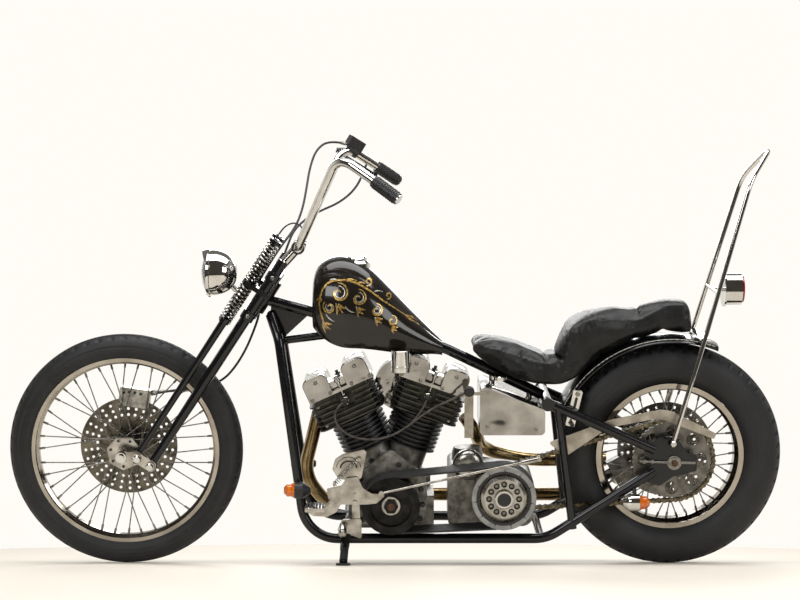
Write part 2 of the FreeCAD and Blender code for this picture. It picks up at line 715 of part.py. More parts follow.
def make_handlebar():
    """One bent tube: level in the clamp, up and out, then down and back to the grips."""
    left = bar_points(-1)
    right = bar_points(1)
    route = list(reversed(left[1:])) + right[1:]
    bends = [D.bar_bend_r * 3, D.bar_bend_r, D.bar_clamp_bend_r,
             D.bar_clamp_bend_r, D.bar_bend_r, D.bar_bend_r * 3]
    return bent_tube(route, bends, D.bar_r)


def make_risers():
    """Two stems on the upper crown that carry one dog-bone clamp round the bar."""
    parts = []
    for side in (-1, 1):
        foot = Vector(D.leg_back, side * D.riser_side, D.neck_high + D.top_tree_thick
                      - D.running_gap)
        head = Vector(D.clamp_back, side * D.riser_side, D.clamp_up)
        parts.append(rod(foot, head, D.riser_r))
        parts.append(Part.makeCylinder(
            D.bar_r + D.riser_r / 2, 2 * D.clamp_half,
            Vector(D.clamp_back, side * D.riser_side - D.clamp_half, D.clamp_up), Y_AXIS))
    bone = Part.makeBox(2 * D.riser_r, 2 * D.riser_side, D.riser_r,
                        Vector(D.clamp_back - D.riser_r, -D.riser_side, D.clamp_up))
    body = parts[0].multiFuse(parts[1:] + [bone])
    bore = Part.makeCylinder(D.bar_r, 4 * D.riser_side,
                             Vector(D.clamp_back, -2 * D.riser_side, D.clamp_up), Y_AXIS)
    below = Part.makeBox(4 * D.riser_side, 4 * D.riser_side, D.overrun,
                         Vector(-2 * D.riser_side, -2 * D.riser_side,
                                D.neck_high + D.top_tree_thick - D.overrun))
    return body.cut(bore).cut(below)


def make_grips():
    """A sleeve on each end of the bar with a round plug."""
    grips = []
    for side in (-1, 1):
        start = Vector(D.grip_x, side * D.grip_side, D.grip_z)
        end = Vector(D.bar_end_x, side * D.bar_end_side, D.bar_end_z)
        along = (end - start).normalize()
        sleeve = rod(start + along * D.bar_bend_r * 0.4, end + along * D.bar_plug_long, D.grip_r)
        core = rod(start, end, D.bar_r)
        grips.append(sleeve.cut(core))
    return Part.makeCompound(grips)


HANDLEBAR = make_handlebar()
GRIPS = make_grips()
shape_node("handlebar", HANDLEBAR)
shape_node("handlebar_risers", make_risers(), AT_NECK)
shape_node("grips", GRIPS)

# Rigid frame: one spine, two side loops with axle plates
D.add(neck_tube_r=24, spine_r=16, spine_front_up=-42, spine_bend_x=140, spine_bend_z=651,
      spine_bend_r=260, seat_post_x=436, seat_post_z=506, brace_z=672, brace_end_x=-66,
      brace_r=12, gusset_thick=6, gusset_long=120, rail_r=14.5, down_top_x=-372, down_top_z=752,
      down_top_side=22, down_x=-345, down_z=684, down_side=62, low_front_x=-266,
      low_front_z=108, low_side=130, low_rear_x=436, axle_side=119, low_bend_r=105,
      rear_bend_r=120, upper_bend_r=90, plate_thick=9, plate_front=735, plate_back=872,
      plate_low=292, plate_high=384, slot_long=52, cross_r=12, cross_front_x=-150,
      cross_rear_x=420, post_low_x=512, post_back=36, plug_r=19, plug_long=9)


def side_points(side):
    """Centre line of one side loop: down tube, bottom rail and rear slope."""
    return [Vector(D.down_top_x, side * D.down_top_side, D.down_top_z),
            Vector(D.down_x, side * D.down_side, D.down_z),
            Vector(D.low_front_x, side * D.low_side, D.low_front_z),
            Vector(D.low_rear_x, side * D.low_side, D.low_front_z),
            Vector(D.plate_front + D.rail_r, side * D.axle_side, D.plate_low + D.rail_r)]


def make_neck():
    start = fork_point(0, 0, D.neck_low)
    end = fork_point(0, 0, D.neck_high)
    return rod(start, end, D.neck_tube_r)


NECK_TUBE = make_neck()
NECK_BORE = rod(fork_point(0, 0, D.neck_low), fork_point(0, 0, D.neck_high),
                D.stem_r + D.running_gap)


def make_side_rail(side):
    """Down tube, bottom rail, upright and upper stay of one side, with its axle plate."""
    low = bent_tube(side_points(side), [D.upper_bend_r, D.low_bend_r, D.rear_bend_r], D.rail_r)
    inner = side * (D.axle_side - D.plate_thick / 2)
    outer = side * (D.axle_side + D.plate_thick / 2)
    corners = [(D.plate_front, D.plate_low), (D.plate_back, D.plate_low + D.rail_r),
               (D.plate_back, D.plate_high - 2 * D.rail_r), (D.plate_front + D.rail_r, D.plate_high)]
    plate = side_plate(corners, [D.rail_r / 2] * 4, min(inner, outer), max(inner, outer))
    slot_half = D.slot_long / 2
    slot = Part.makeBox(2 * slot_half, D.overrun, 2 * D.axle_r,
                        Vector(REAR_AXLE.x - slot_half, min(inner, outer) - D.overrun / 4,
                               REAR_AXLE.z - D.axle_r))
    plate = plate.cut(slot)
    stay_top = Vector(D.seat_post_x, side * (D.axle_side - D.rail_r), D.seat_post_z)
    stay_end = Vector(D.plate_front + D.rail_r, side * D.axle_side, D.plate_high - D.rail_r)
    stay = rod(stay_top, stay_end, D.rail_r)
    knee = Part.makeSphere(D.rail_r, stay_top)
    post_top = stay_top + (stay_end - stay_top).normalize() * D.post_back
    post_low = Vector(D.post_low_x, side * D.low_side, D.low_front_z + 2 * D.rail_r)
    post = rod(post_top, post_low, D.cross_r)
    return low.multiFuse([plate, post, stay, knee]).cut(NECK_TUBE)


LEFT_RAIL = make_side_rail(-1)
RIGHT_RAIL = make_side_rail(1)


def spine_height(x):
    """Height of the top tube's centre line above a place ahead of its bend."""
    front = fork_point(0, 0, D.spine_front_up)
    slope = (D.spine_bend_z - front.z) / (D.spine_bend_x - front.x)
    return front.z + slope * (x - front.x)


def make_spine():
    """Neck, top tube over the engine, cross tubes and the brace to the down tubes."""
    front = fork_point(0, 0, D.spine_front_up)
    bend = Vector(D.spine_bend_x, 0, D.spine_bend_z)
    post = Vector(D.seat_post_x, 0, D.seat_post_z)
    top = bent_tube([front, bend, post], [D.spine_bend_r], D.spine_r)
    ball = Part.makeSphere(D.spine_r, post)
    reach = D.axle_side + D.plug_long
    cross_top = Part.makeCylinder(D.spine_r, 2 * reach,
                                  Vector(D.seat_post_x, -reach, D.seat_post_z), Y_AXIS)
    plugs = [Part.makeCylinder(D.plug_r, D.plug_long, Vector(
        D.seat_post_x, side * reach - (D.plug_long if side < 0 else 0), D.seat_post_z), Y_AXIS)
        for side in (-1, 1)]
    lows = [Part.makeCylinder(D.cross_r, 2 * D.low_side, Vector(x, -D.low_side, D.low_front_z),
                              Y_AXIS) for x in (D.cross_front_x, D.cross_rear_x)]
    brace_front = Vector(D.down_x, 0, D.brace_z)
    brace_back = Vector(D.brace_end_x, 0, spine_height(D.brace_end_x))
    brace = rod(brace_front, brace_back, D.brace_r)
    brace_cross = Part.makeCylinder(D.brace_r, 2 * D.down_side,
                                    Vector(D.down_x, -D.down_side, D.brace_z), Y_AXIS)
    gusset = side_plate([(D.down_x, D.brace_z),
                         (D.down_top_x + D.gusset_long, spine_height(D.down_top_x + D.gusset_long)),
                         (D.down_top_x, spine_height(D.down_top_x)), (D.down_top_x, D.down_top_z)],
                        [0, 0, 0, 0], -D.gusset_thick / 2, D.gusset_thick / 2)
    spine = NECK_TUBE.multiFuse([top, ball, cross_top, brace, brace_cross, gusset] + plugs)
    spine = Part.makeCompound([spine] + lows)
    return spine.cut(NECK_BORE).cut(LEFT_RAIL).cut(RIGHT_RAIL)


shape_node("frame_rail_left", LEFT_RAIL)
shape_node("frame_rail_right", RIGHT_RAIL)
FRAME_SPINE = make_spine()
shape_node("frame_spine", FRAME_SPINE)

# Rear axle with nuts, spacers and chain adjusters
D.add(rear_axle_end=138, rear_nut_r=17, rear_nut_thick=11, adjuster_r=4, adjuster_long=62)


def make_rear_axle():
    end = D.rear_axle_end
    axle = side_disc(REAR_AXLE, D.axle_r - D.running_gap, -end, end)
    extras = []
    outer = D.axle_side + D.plate_thick / 2
    inner = D.axle_side - D.plate_thick / 2 - D.running_gap
    hub_left = -D.sprocket_place + D.bearing_gap
    hub_right = D.rear_hub_half + D.bearing_gap
    for side, hub_end in ((-1, hub_left), (1, hub_right)):
        for first, last in ((outer, outer + D.rear_nut_thick), (hub_end, inner)):
            near, far = sorted((side * first, side * last))
            extras.append(side_disc(REAR_AXLE, D.rear_nut_r, near, far))
        adjuster = rod(REAR_AXLE + Vector(0, side * (outer + D.rear_nut_thick / 2), 0),
                       REAR_AXLE + Vector(D.adjuster_long, side * (outer + D.rear_nut_thick / 2), 0),
                       D.adjuster_r)
        extras.append(adjuster)
    return axle.multiFuse(extras)


shape_node("rear_axle", make_rear_axle())

# Engine: 45 degree V-twin
D.add(crank_x=-18, crank_z=220, vee_half=22, engine_turn=-2.5, case_r=106, case_half=86,
      deck_r=61, deck_high=150, barrel_top=256, barrel_r=60, fin_r=80, fin_count=8, fin_thick=3.6,
      bore_r=44, head_top=346, head_half_wide=102, head_half_deep=78, head_shift=9,
      head_core_share=0.8, head_fin_count=6, head_fin_thick=4.6, head_fin_round=36,
      recess_half=24, recess_deep=30, recess_low=296, spark_r=7, spark_nut_r=11,
      spark_up=320, spark_long=34, spark_nut_long=12,
      cover_high=72, cover_half_deep=66, lobe_wide=77, lobe_gap=46, lobe_round=23,
      cover_base=9, cover_shift=3, cover_edge=3, shaft_plug_r=10, shaft_plug_high=2.5,
      shaft_plug_drop=30, bridge_deep=44, bridge_high=34, stud_r=5, stud_low=300, stud_high=392,
      stud_side=50, stud_nut_r=9, stud_nut_high=9)

CRANK = Vector(D.crank_x, 0, D.crank_z)


def cylinder_place(lean):
    """Placement whose Z runs up a cylinder from the crank and whose Y is across."""
    return Placement(CRANK, Rotation(Y_AXIS, lean * D.vee_half + D.engine_turn))


def ring_outline(low, high, count):
    """Finned barrel profile: (radius, height) corners with evenly spaced fins."""
    pitch = (high - low) / count
    corners = [(D.bore_r, low), (D.barrel_r, low)]
    for i in range(int(count)):
        base = low + (i + 0.5) * pitch - D.fin_thick / 2
        corners += [(D.barrel_r, base), (D.fin_r, base),
                    (D.fin_r, base + D.fin_thick), (D.barrel_r, base + D.fin_thick)]
    return corners + [(D.barrel_r, high), (D.bore_r, high)]


def make_barrel(lean):
    corners = [Vector(r, 0, h) for r, h in ring_outline(D.deck_high, D.barrel_top, D.fin_count)]
    barrel = Part.Face(Part.makePolygon(corners + [corners[0]])).revolve(Vector(), Z_AXIS, 360)
    barrel.Placement = cylinder_place(lean)
    other_side = sorted((-lean * D.fin_thick / 2, -lean * D.wheelbase))
    beyond = box_between(Vector(other_side[0], -D.fin_r, 0),
                         Vector(other_side[1], D.fin_r, D.wheelbase))
    beyond.Placement = Placement(CRANK, Rotation(Y_AXIS, D.engine_turn))
    return barrel.cut(beyond)


def make_head(lean):
    """Square finned head with a recess on the left for the plug, which leans out of it."""
    shift = lean * D.head_shift
    wide = D.head_half_wide
    deep = D.head_half_deep
    core = D.head_core_share
    solid = box_between(Vector(shift - wide * core, -deep * core, D.barrel_top),
                        Vector(shift + wide * core, deep * core, D.head_top))
    pitch = (D.head_top - D.barrel_top) / D.head_fin_count
    fins = []
    for i in range(int(D.head_fin_count)):
        low = D.barrel_top + i * pitch
        fin = box_between(Vector(shift - wide, -deep, low),
                          Vector(shift + wide, deep, low + D.head_fin_thick))
        upright = [edge for edge in fin.Edges
                   if abs(edge.BoundBox.ZLength - D.head_fin_thick) < D.running_gap]
        fins.append(fin.makeFillet(D.head_fin_round, upright))
    recess = box_between(Vector(-D.recess_half, -deep - D.overrun, D.recess_low),
                         Vector(D.recess_half, -deep + D.recess_deep, D.head_top))
    wall = -deep + D.recess_deep
    plug = side_disc(Vector(0, 0, D.spark_up), D.spark_r, wall - D.spark_long, wall)
    nut = hexagon(Vector(0, 0, D.spark_up), D.spark_nut_r, wall - D.spark_nut_long, wall)
    head = solid.multiFuse(fins).cut(recess).multiFuse([plug, nut])
    head.Placement = cylinder_place(lean)
    return head


def make_rocker_cover(lean):
    """Polished cover: two arched lobes on one base, a bridge, shaft plugs and a stud."""
    shift = lean * D.cover_shift
    deep = D.cover_half_deep
    reach = D.lobe_wide + D.lobe_gap / 2
    parts = [box_between(Vector(shift - reach, -deep, D.head_top),
                         Vector(shift + reach, deep, D.head_top + D.cover_base)),
             box_between(Vector(shift - D.lobe_gap / 2, -D.bridge_deep, D.head_top),
                         Vector(shift + D.lobe_gap / 2, D.bridge_deep, D.head_top + D.bridge_high))]
    for side in (-1, 1):
        centre = shift + side * (D.lobe_wide + D.lobe_gap) / 2
        half = D.lobe_wide / 2
        low = D.head_top
        high = D.head_top + D.cover_high
        lobe = side_plate([(centre - half, low), (centre + half, low), (centre + half, high),
                           (centre - half, high)], [0, 0, D.lobe_round, D.lobe_round], -deep, deep)
        rims = [edge for edge in lobe.Edges if edge.BoundBox.YLength < D.running_gap
                and edge.BoundBox.ZMax > low + D.cover_edge]
        lobe = lobe.makeFillet(D.cover_edge, rims)
        boss = side_disc(Vector(centre, 0, high - D.shaft_plug_drop), D.shaft_plug_r,
                         -deep - D.shaft_plug_high, deep + D.shaft_plug_high)
        parts += [lobe, boss]
    for side in (-1, 1):
        place = Vector(shift, side * D.stud_side, D.stud_low)
        parts.append(Part.makeCylinder(D.stud_r, D.stud_high - D.stud_low, place))
        parts.append(Part.makeCylinder(D.stud_nut_r, D.stud_nut_high, Vector(
            place.x, place.y, D.stud_high - 2 * D.stud_nut_high)))
    cover = parts[0].multiFuse(parts[1:])
    cover.Placement = cylinder_place(lean)
    return cover


def make_crankcase():
    """Round case with two decks for the barrels and a mounting foot front and rear."""
    case = side_disc(CRANK, D.case_r, -D.case_half, D.case_half)
    decks = []
    for lean in (-1, 1):
        deck = Part.makeCylinder(D.deck_r, D.deck_high)
        deck.Placement = cylinder_place(lean)
        decks.append(deck)
    feet = box_between(Vector(D.crank_x - D.case_r - D.overrun, -D.case_half + D.overrun,
                              D.low_front_z + D.rail_r),
                       Vector(D.crank_x + D.case_r + D.overrun, D.case_half - D.overrun,
                              D.crank_z))
    case = case.multiFuse(decks + [feet])
    bottom = box_between(Vector(-D.wheelbase, -D.wheelbase, 0),
                         Vector(D.wheelbase, D.wheelbase, D.low_front_z + D.running_gap))
    return case.cut(bottom)


def pair(maker):
    """Front and rear copy of one engine piece."""
    return Part.makeCompound([maker(-1), maker(1)])


shape_node("crankcase", make_crankcase())
shape_node("cylinder_barrels", pair(make_barrel))
HEADS = pair(make_head)
shape_node("cylinder_heads", HEADS)
shape_node("rocker_covers", pair(make_rocker_cover).cut(HEADS))

# Open primary drive: cast plate, front pulley, toothed belt and clutch, all on the left
D.add(clutch_x=307, clutch_z=244, plate_near=-110, belt_near=-116, belt_far=-192,
      front_pulley_r=79, front_guide_r=84, belt_thick=5, clutch_pulley_r=88, clutch_ring_r=93,
      guide_thick=6, clutch_dome_r=72, clutch_dome_high=12, clutch_hole_r=9, clutch_hole_ring=43,
      clutch_holes=12, clutch_boss_r=27, shaft_r=20, nut_r=21, nut_thick=14, washer_r=29,
      washer_thick=4, cast_peak=371, cast_half_wide=102, cast_shoulder=287, cast_low=146,
      cast_round=18)

CLUTCH = Vector(D.clutch_x, 0, D.clutch_z)


def make_primary_plate():
    """Cast plate behind the belt, peaked in the middle, open round the crankshaft."""
    corners = [(D.crank_x - D.cast_half_wide, D.cast_low), (D.crank_x + D.cast_half_wide, D.cast_low),
               (D.crank_x + D.cast_half_wide, D.cast_shoulder), (D.crank_x, D.cast_peak),
               (D.crank_x - D.cast_half_wide, D.cast_shoulder)]
    plate = side_plate(corners, [D.cast_round] * 5, D.plate_near, -D.case_half)
    return plate.cut(side_disc(CRANK, D.shaft_r + D.running_gap, D.plate_near - D.overrun, 0))


def make_front_pulley():
    """Belt pulley on the crankshaft with guide flanges, washer and nut."""
    drum = side_disc(CRANK, D.front_pulley_r - D.running_gap, D.belt_far, D.belt_near)
    guide = side_disc(CRANK, D.front_guide_r, D.belt_far - D.guide_thick, D.belt_far)
    dish = side_disc(CRANK, D.front_guide_r * 0.72, D.belt_far - D.guide_thick,
                     D.belt_far + D.guide_thick)
    shaft = side_disc(CRANK, D.shaft_r, D.belt_near, -D.case_half)
    face = D.belt_far + D.guide_thick
    washer = side_disc(CRANK, D.washer_r, face - D.washer_thick, face)
    nut = hexagon(CRANK, D.nut_r, face - D.washer_thick - D.nut_thick, face)
    return drum.fuse(guide).cut(dish).multiFuse([shaft, washer, nut])


def loop_outline(first, first_r, last, last_r, grow):
    """Closed loop round two circles: two tangent runs and two arcs, in the XZ plane."""
    run = last - first
    span = math.hypot(run.x, run.z)
    heading = math.atan2(run.z, run.x)
    lean = math.asin((last_r - first_r) / span)
    edges = []
    ends = []
    for sign in (1, -1):
        turn = heading + sign * (math.pi / 2 + lean)
        out = Vector(math.cos(turn), 0, math.sin(turn))
        ends.append((first + out * (first_r + grow), last + out * (last_r + grow)))
    away = Vector(math.cos(heading), 0, math.sin(heading))
    edges.append(Part.LineSegment(ends[0][0], ends[0][1]).toShape())
    edges.append(Part.Arc(ends[0][1], last + away * (last_r + grow), ends[1][1]).toShape())
    edges.append(Part.LineSegment(ends[1][1], ends[1][0]).toShape())
    edges.append(Part.Arc(ends[1][0], first - away * (first_r + grow), ends[0][0]).toShape())
    return Part.Wire(edges)


def loop_band(first, first_r, last, last_r, inside, outside, near, far):
    """Band between two loops grown by the given amounts, from Y = near to Y = far."""
    outer = Part.Face(loop_outline(first, first_r, last, last_r, outside))
    inner = Part.Face(loop_outline(first, first_r, last, last_r, inside))
    band = outer.cut(inner).extrude(Vector(0, far - near, 0))
    band.translate(Vector(0, near, 0))
    return band


def make_belt():
    return loop_band(CRANK, D.front_pulley_r, CLUTCH, D.clutch_pulley_r, 0, D.belt_thick,
                     D.belt_far + D.running_gap, D.belt_near)


def make_clutch():
    """Clutch drum with a split outer ring and a domed pressure plate full of holes."""
    drum = side_disc(CLUTCH, D.clutch_pulley_r - D.running_gap, D.belt_far, D.belt_near)
    ring = side_disc(CLUTCH, D.clutch_ring_r, D.belt_far - D.guide_thick, D.belt_far)
    dish = side_disc(CLUTCH, D.clutch_ring_r - 2.6 * D.guide_thick, D.belt_far - D.guide_thick,
                     D.belt_far)
    face = D.belt_far - D.clutch_dome_high
    dome = Part.makeCone(D.clutch_dome_r, 0.8 * D.clutch_dome_r, D.clutch_dome_high,
                         Vector(CLUTCH.x, D.belt_far, CLUTCH.z), -Y_AXIS)
    boss = side_disc(CLUTCH, D.clutch_boss_r, face - D.guide_thick, face)
    clutch = drum.fuse(ring).cut(dish).multiFuse([dome, boss])
    for i in range(int(D.clutch_holes)):
        turn = Rotation(Y_AXIS, 360.0 * i / D.clutch_holes)
        place = CLUTCH + turn.multVec(Vector(D.clutch_hole_ring, 0, 0))
        clutch = clutch.cut(side_disc(place, D.clutch_hole_r, face - D.overrun, D.belt_far))
    return clutch


shape_node("primary_plate", make_primary_plate())
shape_node("front_pulley", make_front_pulley())
shape_node("primary_belt", make_belt())
shape_node("clutch", make_clutch())

# Gearbox with its output sprocket, and the roller chain to the rear wheel
D.add(gear_front=150, gear_back=402, gear_low=128, gear_high=318, gear_left=-68, gear_right=84,
      gear_round=34, gear_lid_r=46, gear_lid_high=46, gear_lid_x=208, chain_plate_half=7,
      chain_plate_in=6, chain_plate_out=9.2, roller_half=4.5)

CHAIN_Y = D.sprocket_place + D.sprocket_thick / 2


def make_gearbox():
    """Cast box with rounded corners, a domed lid, the mainshaft and the output sprocket."""
    corners = [(D.gear_front, D.gear_low), (D.gear_back, D.gear_low),
               (D.gear_back, D.gear_high - D.gear_round), (D.gear_front, D.gear_high)]
    box = side_plate(corners, [D.gear_round / 2, D.gear_round, D.gear_round, D.gear_round / 2],
                     D.gear_left, D.gear_right)
    lid = Part.makeCylinder(D.gear_lid_r, D.gear_lid_high,
                            Vector(D.gear_lid_x, 0, D.gear_high - D.gear_round))
    dome = Part.makeSphere(D.gear_lid_r, Vector(
        D.gear_lid_x, 0, D.gear_high - D.gear_round + D.gear_lid_high)).common(
        Part.makeCylinder(D.gear_lid_r, D.gear_lid_r / 2, Vector(
            D.gear_lid_x, 0, D.gear_high - D.gear_round + D.gear_lid_high)))
    shaft = side_disc(CLUTCH, D.shaft_r, D.belt_near + D.running_gap, D.gear_left)
    wheel = sprocket_shape(D.front_teeth, D.shaft_r - D.axle_r)
    wheel.translate(Vector(CLUTCH.x, D.sprocket_place, CLUTCH.z))
    return box.multiFuse([lid, dome, shaft, wheel])


def make_chain():
    """Endless chain: an outer row of plates on each side of a row of rollers."""
    front = CLUTCH
    back = REAR_AXLE
    radii = (pitch_radius(D.front_teeth), pitch_radius(D.rear_teeth))
    core = loop_band(front, radii[0], back, radii[1], -D.roller_half, D.roller_half,
                     CHAIN_Y - D.chain_plate_in, CHAIN_Y + D.chain_plate_in)
    plates = [loop_band(front, radii[0], back, radii[1], -D.chain_plate_half, D.chain_plate_half,
                        CHAIN_Y + low, CHAIN_Y + high)
              for low, high in ((-D.chain_plate_out, -D.chain_plate_in),
                                (D.chain_plate_in, D.chain_plate_out))]
    return core.multiFuse(plates)


shape_node("gearbox", make_gearbox())
shape_node("drive_chain", make_chain())

# Chain guard: polished sheet over the upper run
D.add(guard_side=-94, guard_thick=2.5, guard_mount_r=6)
GUARD_SHARES = [(0.0, 0.28), (0.11, 0.0), (0.36, 0.60), (0.66, 0.80), (0.985, 0.36),
                (1.0, 0.47), (0.70, 1.0), (0.37, 0.77)]
D.add(guard_front=440, guard_back=932, guard_low=346, guard_high=487)


def make_guard():
    wide = D.guard_back - D.guard_front
    high = D.guard_high - D.guard_low
    corners = [(D.guard_front + a * wide, D.guard_low + u * high) for a, u in GUARD_SHARES]
    radii = [6, 12, 40, 60, 3, 8, 90, 60]
    radii = [r * D.guard_thick / 2.5 for r in radii]
    return side_plate(corners, radii, D.guard_side - D.guard_thick, D.guard_side)


shape_node("chain_guard", make_guard())

# Fuel tank: lofted teardrop over the spine
TANK_SHARES = [(0.00, 0.30, 0.50, 0.74, 0.60), (0.04, 0.24, 0.53, 0.90, 0.78),
               (0.16, 0.13, 0.50, 1.00, 0.95), (0.34, 0.09, 0.44, 0.97, 1.00),
               (0.58, 0.05, 0.36, 0.72, 0.86), (0.82, 0.01, 0.24, 0.38, 0.56),
               (1.00, 0.00, 0.13, 0.14, 0.30)]
D.add(tank_front=-247, tank_back=132, tank_low=636, tank_high=921, tank_half=108,
      tank_gap=3, cap_x=-112, cap_r=33, cap_high=16, cap_low=868)


def tank_section(along, low, belly, high, width):
    """One cross-section: flat bottom, bulging sides and a rounded top."""
    place = D.tank_front + along * (D.tank_back - D.tank_front)
    rise = D.tank_high - D.tank_low
    half = D.tank_half * width
    bottom = D.tank_low + low * rise
    middle = D.tank_low + belly * rise
    top = D.tank_low + high * rise
    foot = 0.72 * half
    shoulder = 0.62 * half
    under_top = top - 0.16 * (top - bottom)
    left = [Vector(place, -foot, bottom), Vector(place, -half, middle),
            Vector(place, -shoulder, under_top)]
    right = [Vector(place, -point.y, point.z) for point in left]
    edges = [Part.Arc(left[0], left[1], left[2]).toShape(),
             Part.Arc(left[2], Vector(place, 0, top), right[2]).toShape(),
             Part.Arc(right[2], right[1], right[0]).toShape(),
             Part.LineSegment(right[0], left[0]).toShape()]
    return Part.Wire(edges)


def make_tank():
    sections = [tank_section(*shares) for shares in TANK_SHARES]
    tank = Part.makeLoft(sections, True, False)
    grow = D.spine_r + D.tank_gap
    start = fork_point(0, 0, D.spine_front_up)
    bend = Vector(D.spine_bend_x, 0, D.spine_bend_z)
    ahead = start - (bend - start).normalize() * D.overrun
    channel = rod(ahead, bend, grow)
    along = (bend - ahead).normalize()
    lower = box_between(Vector(0, -grow, -D.tank_high), Vector((bend - ahead).Length, grow, 0))
    lower.Placement = Placement(ahead, Rotation(X_AXIS, along))
    neck_hole = Part.makeCylinder(D.cap_r + D.running_gap, D.tank_high, Vector(
        D.cap_x, 0, D.cap_low))
    return tank.cut(channel).cut(lower).cut(neck_hole)


def make_cap():
    low = Part.makeCylinder(D.cap_r, D.cap_high + D.overrun, Vector(D.cap_x, 0, D.cap_low))
    top = Part.makeCone(D.cap_r, 0.7 * D.cap_r, D.cap_high / 2,
                        Vector(D.cap_x, 0, D.cap_low + D.cap_high + D.overrun))
    return low.fuse(top)


shape_node("fuel_tank", make_tank())
shape_node("fuel_cap", make_cap())

# Stepped seat for two, a soft closed solid
SEAT_SHARES = [(0.0, 0.455), (0.025, 0.47), (0.04, 0.52), (0.30, 0.33), (0.41, 0.285),
               (0.418, 0.62), (0.58, 0.79), (0.74, 0.79), (0.93, 1.0), (0.985, 0.90),
               (1.0, 0.63), (0.96, 0.57), (0.43, 0.10), (0.36, 0.02)]
D.add(fender_r=347, fender_thick=3, fender_half=76, fender_crown=14, fender_start=142,
      fender_end=64)
D.add(seat_front=205, seat_back=880, seat_low=540, seat_high=815, seat_half=104,
      seat_rear_share=0.82, seat_nose_share=0.62, seat_round=10)


def make_seat():
    wide = D.seat_back - D.seat_front
    high = D.seat_high - D.seat_low
    corners = [Vector(D.seat_front + a * wide, -D.seat_half, D.seat_low + u * high)
               for a, u in SEAT_SHARES]
    face = Part.Face(Part.makePolygon(corners + [corners[0]]))
    pad = face.extrude(Vector(0, 2 * D.seat_half, 0))
    reach = D.fender_half + D.fender_thick + D.running_gap
    over_wheel = side_disc(REAR_AXLE, D.fender_r + D.fender_thick + D.running_gap, -reach, reach)
    return pad.cut(over_wheel)


shape_node("seat", make_seat())

# Rear fender: curved sheet close to the tyre, with its lower strut


def make_fender():
    """Arched sheet: a shallow crown turned about the rear axle."""
    half = D.fender_half
    def section(grow):
        return [Vector(0, -half - grow, D.fender_r - D.fender_crown * 2),
                Vector(0, -half - grow, D.fender_r - D.fender_crown),
                Vector(0, -half / 2, D.fender_r + grow), Vector(0, half / 2, D.fender_r + grow),
                Vector(0, half + grow, D.fender_r - D.fender_crown),
                Vector(0, half + grow, D.fender_r - D.fender_crown * 2)]
    corners = section(D.fender_thick) + list(reversed(section(0)))
    face = Part.Face(Part.makePolygon(corners + [corners[0]]))
    sweep = D.fender_start - D.fender_end
    fender = face.revolve(Vector(), Y_AXIS, -sweep)
    fender.Placement = Placement(REAR_AXLE, Rotation(Y_AXIS, 90 - D.fender_end))
    return fender


shape_node("rear_fender", make_fender())

# Sissy bar: one round rod each side, drawn together into a point, with a lamp plate
D.add(sissy_r=7, sissy_foot_x=799, sissy_foot_z=392, sissy_foot_side=134, sissy_mid_x=893,
      sissy_mid_side=108, sissy_mid_z=705, sissy_neck_x=1018, sissy_neck_side=74,
      sissy_neck_z=1150, sissy_tip_x=1088, sissy_tip_z=1244, sissy_bend_r=160,
      sissy_neck_r=120, sissy_tip_r=20, sissy_cross_r=5.5, tail_x=962, tail_z=826, tail_plate_r=52, tail_plate_thick=5,
      tail_r=47, tail_long=46, tail_lens_r=40, tail_lens_long=14, tail_wall=3)


def sissy_points(side):
    return [Vector(D.sissy_foot_x, side * D.sissy_foot_side, D.sissy_foot_z),
            Vector(D.sissy_mid_x, side * D.sissy_mid_side, D.sissy_mid_z),
            Vector(D.sissy_neck_x, side * D.sissy_neck_side, D.sissy_neck_z),
            Vector(D.sissy_tip_x, 0, D.sissy_tip_z)]


def make_sissy_bar():
    """One bent rod up each side and round the tip, a cross bar and the lamp's plate."""
    route = sissy_points(-1) + list(reversed(sissy_points(1)))[1:]
    legs = bent_tube(route, [D.sissy_bend_r, D.sissy_neck_r, D.sissy_tip_r, D.sissy_neck_r,
                             D.sissy_bend_r], D.sissy_r)
    slope = (D.sissy_neck_x - D.sissy_mid_x) / (D.sissy_neck_z - D.sissy_mid_z)
    bar_x = D.sissy_mid_x + slope * (D.tail_z - D.sissy_mid_z)
    cross = Part.makeCylinder(D.sissy_cross_r, 2 * D.sissy_mid_side - 4 * D.sissy_r,
                              Vector(bar_x, -D.sissy_mid_side + 2 * D.sissy_r, D.tail_z), Y_AXIS)
    plate = Part.makeCylinder(D.tail_plate_r, D.tail_plate_thick,
                              Vector(D.tail_x - D.tail_plate_thick, 0, D.tail_z), X_AXIS)
    stem = Part.makeCylinder(D.sissy_r, D.tail_x - bar_x - D.tail_plate_thick / 2,
                             Vector(bar_x, 0, D.tail_z), X_AXIS)
    return legs.multiFuse([cross, plate, stem])


def make_tail_lamp():
    """Round housing, hollow behind its lens."""
    outer = Part.makeCylinder(D.tail_r, D.tail_long, Vector(D.tail_x, 0, D.tail_z), X_AXIS)
    inner = Part.makeCylinder(D.tail_lens_r, D.tail_long,
                              Vector(D.tail_x + D.tail_wall, 0, D.tail_z), X_AXIS)
    return outer.cut(inner)


def make_tail_lens():
    return Part.makeCylinder(D.tail_lens_r - D.running_gap, D.tail_lens_long, Vector(
        D.tail_x + D.tail_long - D.tail_lens_long / 2, 0, D.tail_z), X_AXIS)


shape_node("sissy_bar", make_sissy_bar())
shape_node("tail_lamp", make_tail_lamp())
shape_node("tail_lens", make_tail_lens())

# Turn signals: two in front on the down tubes, two behind on the axle plates
D.add(signal_r=24, signal_long=46, signal_nose=22, signal_stalk_r=6, front_signal_x=-296,
      front_signal_z=262, front_signal_side=170, rear_signal_x=700, rear_signal_z=222,
      rear_signal_side=158, signal_lens_thick=9, front_stalk_x=-286, front_stalk_side=108,
      rear_stalk_x=690, rear_stalk_z=268)


